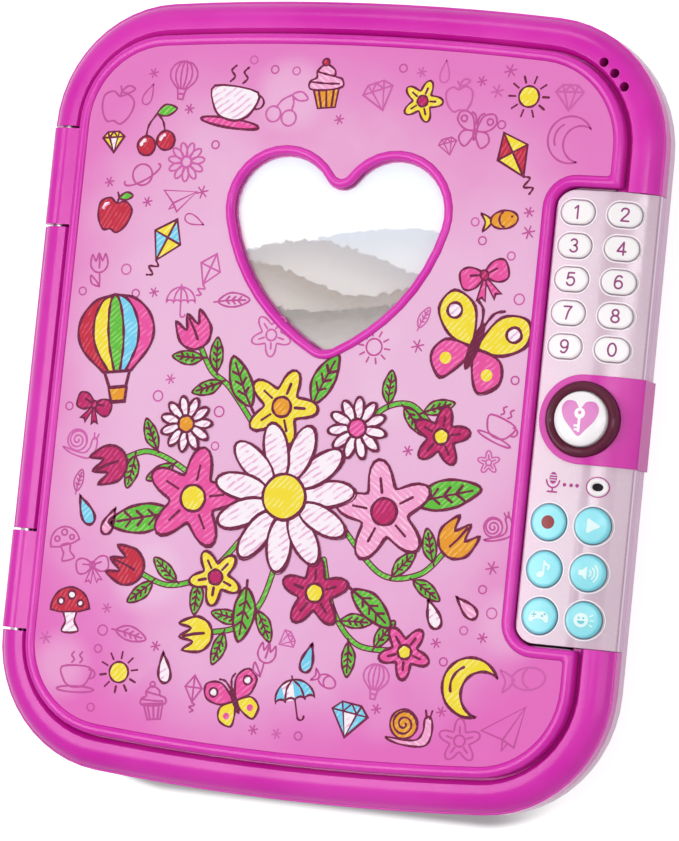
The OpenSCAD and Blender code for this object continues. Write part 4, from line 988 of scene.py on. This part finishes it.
# Open print ground: middles and radius of its round corners, and the keypad's notch
GROUND_X, GROUND_Y, GROUND_R = 62, 83, 29
NOTCH_X, NOTCH_Y = 70, 76
HEART_MARGIN = 3.6


def in_heart(x, y, grow):
    """True on the heart rim grown on all sides; its slanted sides grow more across."""
    dx, dy = abs(x - HEART_X), y - HEART_Y
    for (y0, w0), (y1, w1) in zip(HEART_HALF, HEART_HALF[1:]):
        if y0 - grow <= dy <= y1 + grow and dx < max(w0, w1) + grow * 1.25:
            share = min(1.0, max(0.0, (dy - y0) / (y1 - y0)))
            if dx < w0 + (w1 - w0) * share + grow * 1.35:
                return True
    return False


def open_ground(x, y, room):
    """True where the printed sheet has room for a small motif."""
    if in_heart(x, y, room + HEART_MARGIN) or (x > NOTCH_X - room and abs(y) < NOTCH_Y + room):
        return False
    beyond = math.hypot(max(abs(x) - GROUND_X, 0), max(abs(y) - GROUND_Y, 0))
    return beyond <= GROUND_R - room


# Sketches fill the open ground, the larger ones first. Above DECK_SIZE one is dealt from all
# motifs, above PLAIN_SIZE from four, and below it is a ring or a star. SPREAD and GROUND_SHARE
# are the shares of its size that it keeps free and that lie on open ground.
SKETCH_LIMITS = ((-88, 90), (-112, 112))
SKETCH_TRIES = 6000
LARGE_TRIES = 3600
MOST_SKETCHES = 131
LARGE_SIZES = (8.4, 7.6, 6.8, 6.0)
SMALL_SIZES = (4.8, 4.0, 3.4, 2.6)
DECK_SIZE = 4.5
PLAIN_SIZE = 3.5
SPREAD = 0.86
GROUND_SHARE = 0.85
STALK_ROOM = 3.0
SKETCH_LEAN = 22
APART = 0.7
taken = [(entry[2], entry[3], entry[4] * SPREAD) for entry in GROUP + ACCENTS]
taken += [(x, y, STALK_ROOM) for entry in STALKS for x, y in curve(entry[0], False, 3)]
taken += stalk_ends
order = []
for attempt in range(SKETCH_TRIES):
    x, y = [rng.uniform(*limits) for limits in SKETCH_LIMITS]
    size = rng.choice(LARGE_SIZES if attempt < LARGE_TRIES else SMALL_SIZES)
    if not open_ground(x, y, size * GROUND_SHARE):
        continue
    if any(math.hypot(x - a, y - b) < size * SPREAD + c + APART for a, b, c in taken):
        continue
    taken.append((x, y, size * SPREAD))
    order.append((x, y, size))
    if len(order) == MOST_SKETCHES:
        break
sketch = Print("lid_sketches", "lid", "print_sheet", on_lid, 0.015)
deck = []
for index, (x, y, size) in enumerate(order):
    tone = "line" if index % 3 else "soft"
    if size > DECK_SIZE:
        if not deck:
            deck = MOTIFS[:]
            rng.shuffle(deck)
        draw(sketch, deck.pop()(), x, y, size, rng.uniform(-SKETCH_LEAN, SKETCH_LEAN), SKETCH_LINE,
             tone)
    elif size > PLAIN_SIZE:
        draw(sketch, rng.choice((flower, gem, leaf, drop_petal))(), x, y, size,
             rng.uniform(0, 360), SMALL_LINE, tone)
    elif rng.random() < 0.5:
        sketch.line(tone, ring(x, y, size * 0.5, n=14), SMALL_LINE, True)
    else:
        for angle in (15, 75, 135):
            dx, dy = polar(size * 0.6, math.radians(angle))
            sketch.line(tone, [(x - dx, y - dy), (x + dx, y + dy)], SMALL_LINE)
picture.build()
sketch.build()


# Small pictures on the keypad side

def face_height(x):
    if x <= FACE_CURVE_X:
        return FACE_Z
    return FACE_Z - FACE_CURVE_R + math.sqrt(FACE_CURVE_R ** 2 - (x - FACE_CURVE_X) ** 2)


def face_tilt(x):
    return 0.0 if x <= FACE_CURVE_X else math.asin((x - FACE_CURVE_X) / FACE_CURVE_R)


def stand(cx, cy, cap):
    """Places local millimetres on a cap whose height over the face is cap(distance)."""
    turn = Matrix.Rotation(face_tilt(cx), 3, "Y")
    base = Vector((cx, cy, face_height(cx)))

    def place(x, y, z):
        return spot(*(base + turn @ Vector((x, y, cap(math.hypot(x, y)) + CLEAR + z))))

    return place


def numerals():
    """Pen paths of plain numerals, 4 mm high, about the middle of each."""
    bowl = curve([(-1.15, 0.1), (-0.3, 0.62), (0.75, 0.42), (1.22, -0.6), (0.8, -1.65),
                  (-0.1, -2.0), (-0.9, -1.75), (-1.25, -1.2)], False, 6)
    six = curve([(1.0, 1.6), (0.35, 2.0), (-0.5, 1.75), (-1.1, 0.6), (-1.2, -0.7)], False, 6)
    loop = ring(0, -0.78, 1.2, 1.22, 26)
    return {
        "0": [(ring(0, 0, 1.28, 2.0, 30), True)],
        "1": [([(-0.85, 1.2), (0.15, 2.0)], False), ([(0.15, 2.0), (0.15, -2.05)], False)],
        "2": [(curve([(-1.15, 1.1), (-0.75, 1.8), (0.05, 2.02), (0.9, 1.7), (1.1, 0.95),
                      (0.6, 0.05), (-0.4, -1.0), (-1.15, -1.98)], False, 6), False),
              ([(-1.15, -1.98), (1.25, -1.98)], False)],
        "3": [(ring(-0.1, 1.02, 1.05, 0.98, 16, 150, -85) + ring(-0.1, -0.98, 1.2, 1.04, 18, 85,
                                                                 -155), False)],
        "4": [([(0.55, -2.0), (0.55, 1.95)], False), ([(0.55, 1.95), (-1.35, -0.95)], False),
              ([(-1.35, -0.95), (1.35, -0.95)], False)],
        "5": [([(1.05, 1.98), (-0.85, 1.98)], False), ([(-0.85, 1.98), (-1.1, 0.15)], False),
              (bowl, False)],
        "6": [(six, False), (loop, True)],
        "7": [([(-1.25, 1.98), (1.25, 1.98)], False),
              (curve([(1.25, 1.98), (0.3, 0.5), (-0.35, -2.0)], False, 5), False)],
        "8": [(ring(0, 1.05, 0.98, 0.95, 24), True), (ring(0, -0.97, 1.22, 1.05, 26), True)],
        "9": [([(-x, -y) for x, y in six], False), ([(-x, -y) for x, y in loop], True)],
    }


for index, name in enumerate("1234567890"):
    label = Print("numeral_" + name, "number_" + name, "key_white",
                  stand(KEY_COLUMNS[index % 2], KEY_TOP_Y - KEY_PITCH * (index // 2),
                        lambda r: KEY_PROUD))
    for path, closed in numerals()[name]:
        label.line("digit", path, 0.6, closed)
    label.build()


def button_cap(r):
    return BUTTON_EDGE_H + BUTTON_DOME_H * max(0.0, 1 - r / BUTTON_DOME_R)


def icon_sheet(name, column, row):
    return Print("icon_" + name, name, "button_aqua",
                 stand(BUTTON_COLUMNS[column], BUTTON_TOP_Y - BUTTON_PITCH * row, button_cap))


# Longest edge left in an icon, its finest line, and the heights of its layers
ICON_EDGE = 0.6
THIN_LINE = 0.42
LOWER = 0.008
UPPER = 0.02
TOP = 0.04

icon = icon_sheet("record", 0, 0)
icon.fill("record", ring(0, 0, 2.15, n=34))
icon.build(ICON_EDGE)

icon = icon_sheet("play", 1, 0)
icon.fill("icon", curve([(-1.7, 2.3), (0.6, 1.1), (2.4, 0.0), (0.6, -1.1), (-1.7, -2.3),
                         (-1.75, 0)], True, 3))
icon.build(ICON_EDGE)

icon = icon_sheet("music", 0, 1)
icon.fill("icon", ring(-0.85, -1.75, 1.25, 0.9, 20, turn=20))
icon.line("icon", [(0.15, -1.6), (0.15, 2.5)], 0.6)
icon.line("icon", curve([(0.15, 2.4), (0.8, 1.6), (1.8, 1.1), (1.5, 0.1)]), 0.7)
icon.build(ICON_EDGE)

icon = icon_sheet("volume", 1, 1)
icon.fill("icon", [(-3.0, 0.85), (-1.9, 0.85), (-0.4, 2.3), (-0.4, -2.3), (-1.9, -0.85),
                   (-3.0, -0.85)])
for reach in (1.2, 2.3, 3.4):
    icon.line("icon", ring(-0.3, 0, reach, n=12, a0=-48, a1=48), 0.5)
icon.build(ICON_EDGE)

icon = icon_sheet("game", 0, 2)
icon.fill("icon", curve([(-1.6, 1.55), (0, 1.3), (1.6, 1.55), (2.9, 0.6), (3.2, -1.35),
                         (2.3, -1.9), (1.05, -0.9), (-1.05, -0.9), (-2.3, -1.9),
                         (-3.2, -1.35), (-2.9, 0.6)], True, 5))
icon.line("aqua", [(-2.3, 0.4), (-0.9, 0.4)], THIN_LINE, up=UPPER)
icon.line("aqua", [(-1.6, 1.1), (-1.6, -0.3)], THIN_LINE, up=UPPER)
icon.fill("aqua", ring(1.15, 0.1, 0.36, n=12), UPPER)
icon.fill("aqua", ring(1.95, 0.75, 0.36, n=12), UPPER)
icon.build(ICON_EDGE)

icon = icon_sheet("voice", 1, 2)
icon.fill("icon", ring(-0.8, 0, 2.3, n=34))
icon.fill("aqua", ring(-1.55, 0.65, 0.34, n=12), UPPER)
icon.fill("aqua", ring(-0.05, 0.65, 0.34, n=12), UPPER)
icon.fill("aqua", ring(-0.8, -0.25, 1.2, 1.0, 14, 180, 360), UPPER)
for angle in (-26, 0, 26):
    near, far = polar(3.0, math.radians(angle)), polar(4.0, math.radians(angle))
    icon.line("icon", [(near[0] - 0.8, near[1]), (far[0] - 0.8, far[1])], THIN_LINE)
icon.build(ICON_EDGE)


# Heart and key on the lock button

HEART_GROWTH = 1.2
LOCK_EDGE = 0.7
ABOVE_ALL = 60.0
cap_mesh = cap_skin.data
cap_tree = BVHTree.FromPolygons([vert.co for vert in cap_mesh.vertices],
                                [face.vertices for face in cap_mesh.polygons])


def on_cap(x, y, z):
    above = spot(LOCK_X + x, LOCK_Y + y, ABOVE_ALL)
    hit = cap_tree.ray_cast(above, Vector((0, 0, -1)))[0]
    return Vector((above.x, above.y, hit.z + (CLEAR + z) * MM))


lock = Print("lock_picture", "lock", "button_white", on_cap)
heart = curve([(0, 2.6), (1.5, 4.4), (3.9, 4.5), (5.1, 2.6), (4.3, -0.2), (2.1, -2.7),
               (0, -4.6), (-2.1, -2.7), (-4.3, -0.2), (-5.1, 2.6), (-3.9, 4.5), (-1.5, 4.4)],
              True, 6)
heart = [(x * HEART_GROWTH, y * HEART_GROWTH) for x, y in heart]
lock.fill("lockheart", heart, LOWER)
lock.fill("white_face", ring(0, 1.7, 1.75, n=26), UPPER)
lock.line("white_face", [(0, 0.4), (0, -3.9)], 0.85, up=UPPER)
for y, length in ((-2.3, 1.35), (-3.5, 1.15)):
    lock.line("white_face", [(0, y), (-length, y)], FINE_LINE, up=UPPER)
lock.fill("lockheart", ring(0, 1.9, 0.6, n=16), TOP)
lock.build(LOCK_EDGE)


# Notepad cover: borders, a label with three rules, flowers and two rows of dots

BORDER_INSET = 12
INNER_INSET = 16
LABEL_Y = 44
LABEL_SHARE = 0.56
LABEL_HEIGHT = 34
RULE_Y = (51, 43, 35)
RULE_SHARE = 0.21
DOT_ROWS = (76, -80)
DOT_START = 0.38
DOT_STEP = 0.127
DOT_R = 1.3
notebook_low, notebook_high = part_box("notebook_cover")
notebook_top = notebook_high[2] + CLEAR * MM
book_x = (notebook_low[0] + notebook_high[0]) / 2 / MM - SHIFT_X
book_w = (notebook_high[0] - notebook_low[0]) / MM
book_h = (notebook_high[1] - notebook_low[1]) / MM


def on_notebook(x, y, z):
    return spot(x, y, z) + Vector((0, 0, notebook_top))


def rounded(cx, cy, w, h, r):
    return [(cx + sx * (w / 2 - r) + polar(r, math.radians(a))[0],
             cy + sy * (h / 2 - r) + polar(r, math.radians(a))[1])
            for sx, sy, a0 in ((1, 1, 0), (-1, 1, 90), (-1, -1, 180), (1, -1, 270))
            for a in range(a0, a0 + 91, 15)]


cover = Print("notebook_print", "case", "cover_card", on_notebook)
cover.line("white", rounded(book_x, 0, book_w - BORDER_INSET, book_h - BORDER_INSET, 8),
           BOLD_LINE, True)
cover.line("rose", rounded(book_x, 0, book_w - INNER_INSET, book_h - INNER_INSET, 6.5),
           SMALL_LINE, True)
label_shape = rounded(book_x, LABEL_Y, book_w * LABEL_SHARE, LABEL_HEIGHT, 8)
cover.fill("white", label_shape)
cover.line("plum", label_shape, FINE_LINE, True, up=0.01)
for y in RULE_Y:
    cover.line("soft", [(book_x + side * book_w * RULE_SHARE, y) for side in (-1, 1)], 0.4, up=0.01)
draw(cover, flower("rose", "yellow"), book_x - 20, -40, 16, 12, MIDDLE_LINE, level=0.02)
draw(cover, flower("blush", "magenta"), book_x + 22, -34, 13, 40, MIDDLE_LINE, level=0.02)
draw(cover, daisy("white", "yellow"), book_x + 2, -20, 17, 8, MIDDLE_LINE, level=0.06)
draw(cover, butterfly("yellow", "rose"), book_x + 30, 4, 11, -20, FINE_LINE, level=0.02)
for x, y, turn in ((-38, -8, 150), (-44, -58, 210), (44, -54, -30), (4, -62, 265)):
    draw(cover, leaf("green"), book_x + x, y, 7, turn, FINE_LINE, level=0.02)
for y in DOT_ROWS:
    for k in range(7):
        cover.fill("blush", ring(book_x - book_w * DOT_START + k * book_w * DOT_STEP, y, DOT_R,
                                 n=16))
cover.build()


# Marks on the keypad housing: a microphone sign, and pale rims round keys and buttons, painted
# highlights on the edges of their holes

MARGIN = 0.62
SIGN_X = 82.2
SIGN_Y = -19.6
SIGN_LINE = 0.55
BUTTON_HIGHLIGHT_LINE = 0.36
RIM_LINE = 0.34
MARK_EDGE = 0.8


def on_housing(x, y, z):
    turn = face_tilt(x)
    return spot(x + math.sin(turn) * (z + CLEAR), y, face_height(x) + math.cos(turn) * (z + CLEAR))


marks = Print("housing_marks", "case", "panel_plastic", on_housing)
marks.fill("mauve", ring(SIGN_X, SIGN_Y, 1.25, 1.9, 22))
marks.line("mauve", ring(SIGN_X, SIGN_Y - 0.3, 2.2, 2.8, 12, 190, 350), SIGN_LINE)
marks.line("mauve", [(SIGN_X, -22.6), (SIGN_X, -23.8)], SIGN_LINE)
marks.line("mauve", [(SIGN_X - 1.5, -24.0), (SIGN_X + 1.5, -24.0)], 0.6)
for x in (86.1, 88.3, 90.3):
    marks.fill("mauve", ring(x, -21.5, 0.62, n=14))
for dy in (-0.7, 0.1, 0.9):
    marks.line("pearl", [(SIGN_X - 0.9, SIGN_Y + dy), (SIGN_X + 0.9, SIGN_Y + dy)], 0.22, up=0.01)
# Pale rings round the buttons: painted highlight on the hole edges
for x in BUTTON_COLUMNS:
    for row in range(3):
        marks.line("pearl", ring(x, BUTTON_TOP_Y - BUTTON_PITCH * row, BUTTON_R + MARGIN, n=48),
                   BUTTON_HIGHLIGHT_LINE, True)
key_end = (KEY_LENGTH - KEY_WIDTH) / 2
key_half = KEY_WIDTH / 2 + MARGIN
# Pale rings round the keys: painted highlight on the hole edges
for x in KEY_COLUMNS:
    for row in range(5):
        y = KEY_TOP_Y - KEY_PITCH * row
        marks.line("pearl", ring(x + key_end, y, key_half, n=14, a0=-90, a1=90)
                   + ring(x - key_end, y, key_half, n=14, a0=90, a1=270), RIM_LINE, True)
marks.line("mauve", ring(*MIC_SPOT, 3.55, 3.15, 36), RIM_LINE, True)
marks.build(MARK_EDGE)

# Sections of the microphone surround: half width, half height and height over the face
MIC_SECTIONS = ((3.35, 2.95, -0.05), (3.3, 2.9, 0.22), (2.95, 2.55, 0.42), (2.2, 1.75, 0.40),
                (1.85, 1.32, 0.2), (1.75, 1.22, -0.4))
MIC_SIDES = 48


def mic_surround():
    """Raised white oval round the microphone hole."""
    verts = [on_housing(x, y, up) for rx, ry, up in MIC_SECTIONS
             for x, y in ring(*MIC_SPOT, rx, ry, MIC_SIDES)]
    faces = []
    for start in range(0, len(verts) - MIC_SIDES, MIC_SIDES):
        for i in range(MIC_SIDES):
            a, b = start + i, start + (i + 1) % MIC_SIDES
            faces.append([a, b, b + MIC_SIDES, a + MIC_SIDES])
    mesh = bpy.data.meshes.new("microphone_surround")
    mesh.from_pydata(verts, [], faces)
    for face in mesh.polygons:
        face.use_smooth = True
    piece = add_piece("microphone_surround", mesh, materials["key_white"])
    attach(piece, "case")


mic_surround()


# Floor, lights and world; lengths here are in metres

FOOT_HALF = (0.1005, 0.1300)
FOOT_CORNER = 0.046
UNDERSIDE_GAP = 0.0012
FLOOR_DROP = 0.00005
FLOOR_HALF = 4.0
FLOOR_TONES = (0.62, 0.64)
# Contact shadow: where it fades along y, along x and away from the foot
SHADE_Y = (-0.098, -0.124)
SHADE_X = (0.058, 0.086)
SHADE_AWAY = (0.0012, 0.0046)
# The floor glows less near the object: distances and the least share
GLOW_REACH = (0.4, 1.3)
GLOW_LEAST = 0.70
WORLD_LEVEL = 0.31


def floor_finish():
    """Plain floor that shows white, but keeps a shadow close to the object."""
    here = places()
    tones = [(tone, tone, tone, 1.0) for tone in FLOOR_TONES]
    plain = node("BsdfDiffuse", Color=blend(drift(here, 3.0, 3.0, 0.5, 0.0, 1.0), *tones))
    ray = node("LightPath")
    x, y, _ = axes(here)
    beyond = [calc("MAXIMUM", calc("SUBTRACT", calc("ABSOLUTE", part), half - FOOT_CORNER), 0.0)
              for part, half in zip((x, y), FOOT_HALF)]
    away = calc("SQRT", calc("ADD", *[calc("POWER", part, 2.0) for part in beyond]))
    low = calc("MULTIPLY", span(y, *SHADE_Y, 0.0, 1.0, True), span(x, *SHADE_X, 1.0, 0.0, True))
    edge = [FOOT_CORNER + reach for reach in SHADE_AWAY]
    near = calc("MULTIPLY", low, span(away, *edge, 1.0, 0.0, True))
    far = node("VectorMath", {"operation": "LENGTH"}, Vector=here).outputs["Value"]
    strength = calc("MULTIPLY", span(far, *GLOW_REACH, GLOW_LEAST, 1.0, True),
                    calc("SUBTRACT", 1.0, near))
    glow = node("Emission", Color=WHITE, Strength=calc("MULTIPLY", seen_directly(ray), strength))
    lit = node("AddShader")
    plug(lit.inputs[0], plain.outputs[0])
    plug(lit.inputs[1], glow.outputs[0])
    back = calc("MAXIMUM", node("NewGeometry").outputs["Backfacing"],
                calc("LESS_THAN", ray.outputs["Ray Length"], UNDERSIDE_GAP))
    both = node("MixShader", Fac=back)
    plug(both.inputs[1], lit.outputs[0])
    plug(both.inputs[2], node("BsdfTransparent").outputs[0])
    return both


floor_mesh = bpy.data.meshes.new("floor")
floor_mesh.from_pydata([(FLOOR_HALF * sx, FLOOR_HALF * sy, -FLOOR_DROP)
                        for sx, sy in ((-1, -1), (1, -1), (1, 1), (-1, 1))], [], [(0, 1, 2, 3)])
floor = add_piece("floor", floor_mesh, material("floor", floor_finish))

# Softboxes: direction, distance, size and power in watts; the low one lights the underside
SOFTBOXES = {
    "overhead_softbox": ((-0.42, -0.06, 0.90), 1.5, (0.74, 0.74), 10.0),
    "key_softbox": ((-0.20, 1.0, 0.80), 1.6, (0.7, 0.4), 3.0),
    "narrow_strip": ((0.335, 0.087, 0.938), 1.45, (0.11, 1.1), 3.6),
    "right_strip": ((0.85, -0.05, 0.6), 1.3, (0.5, 1.0), 2.5),
    "low_softbox": ((0.0, -0.2, -1.0), 1.6, (0.9, 0.9), 9.0),
}
for name, (direction, distance, size, power) in SOFTBOXES.items():
    data = bpy.data.lights.new(name, "AREA")
    data.shape = "RECTANGLE"
    data.size, data.size_y = size
    data.energy = power
    light = bpy.data.objects.new(name, data)
    towards = Vector(direction).normalized()
    light.location = towards * distance
    light.rotation_euler = towards.to_track_quat("Z", "Y").to_euler()
    scene.collection.objects.link(light)

world = bpy.data.worlds.new("studio")
scene.world = world
world.use_nodes = True
tree = world.node_tree
tree.nodes.clear()
seen = seen_directly(node("LightPath"))
glow = node("Background", Color=WHITE, Strength=span(seen, 0.0, 1.0, WORLD_LEVEL, 1.0))
plug(node("OutputWorld").inputs["Surface"], glow.outputs[0])


# Camera at the photograph's viewing angle: radians, then millimetres

SWING, DROP, ROLL = 0.37993, 0.057153, 0.101435
DISTANCE, ACROSS, UPWARD = 1246.82, 7.168, -7.502
SENSOR = 36.0
LENS = 165.04
# Nearest and farthest things seen, in metres
CLIP = (0.05, 20.0)


def photo_camera():
    back = Vector((math.sin(SWING) * math.cos(DROP), -math.sin(DROP),
                   math.cos(SWING) * math.cos(DROP)))
    level = Vector((0, 1, 0)).cross(back).normalized()
    upright = back.cross(level)
    right = math.cos(ROLL) * level + math.sin(ROLL) * upright
    up = -math.sin(ROLL) * level + math.cos(ROLL) * upright
    eye = (back * DISTANCE + ACROSS * right + UPWARD * up + Vector((SHIFT_X, 0, PRINT_Z))) * MM
    lens = bpy.data.cameras.new("photo_camera")
    lens.sensor_fit = "AUTO"
    lens.sensor_width = SENSOR
    lens.lens = LENS
    lens.clip_start, lens.clip_end = CLIP
    camera = bpy.data.objects.new("photo_camera", lens)
    camera.matrix_world = (Matrix.Translation(eye)
                           @ Matrix((right, up, back)).transposed().to_4x4())
    scene.collection.objects.link(camera)
    scene.camera = camera


photo_camera()
scene.view_settings.view_transform = "Standard"
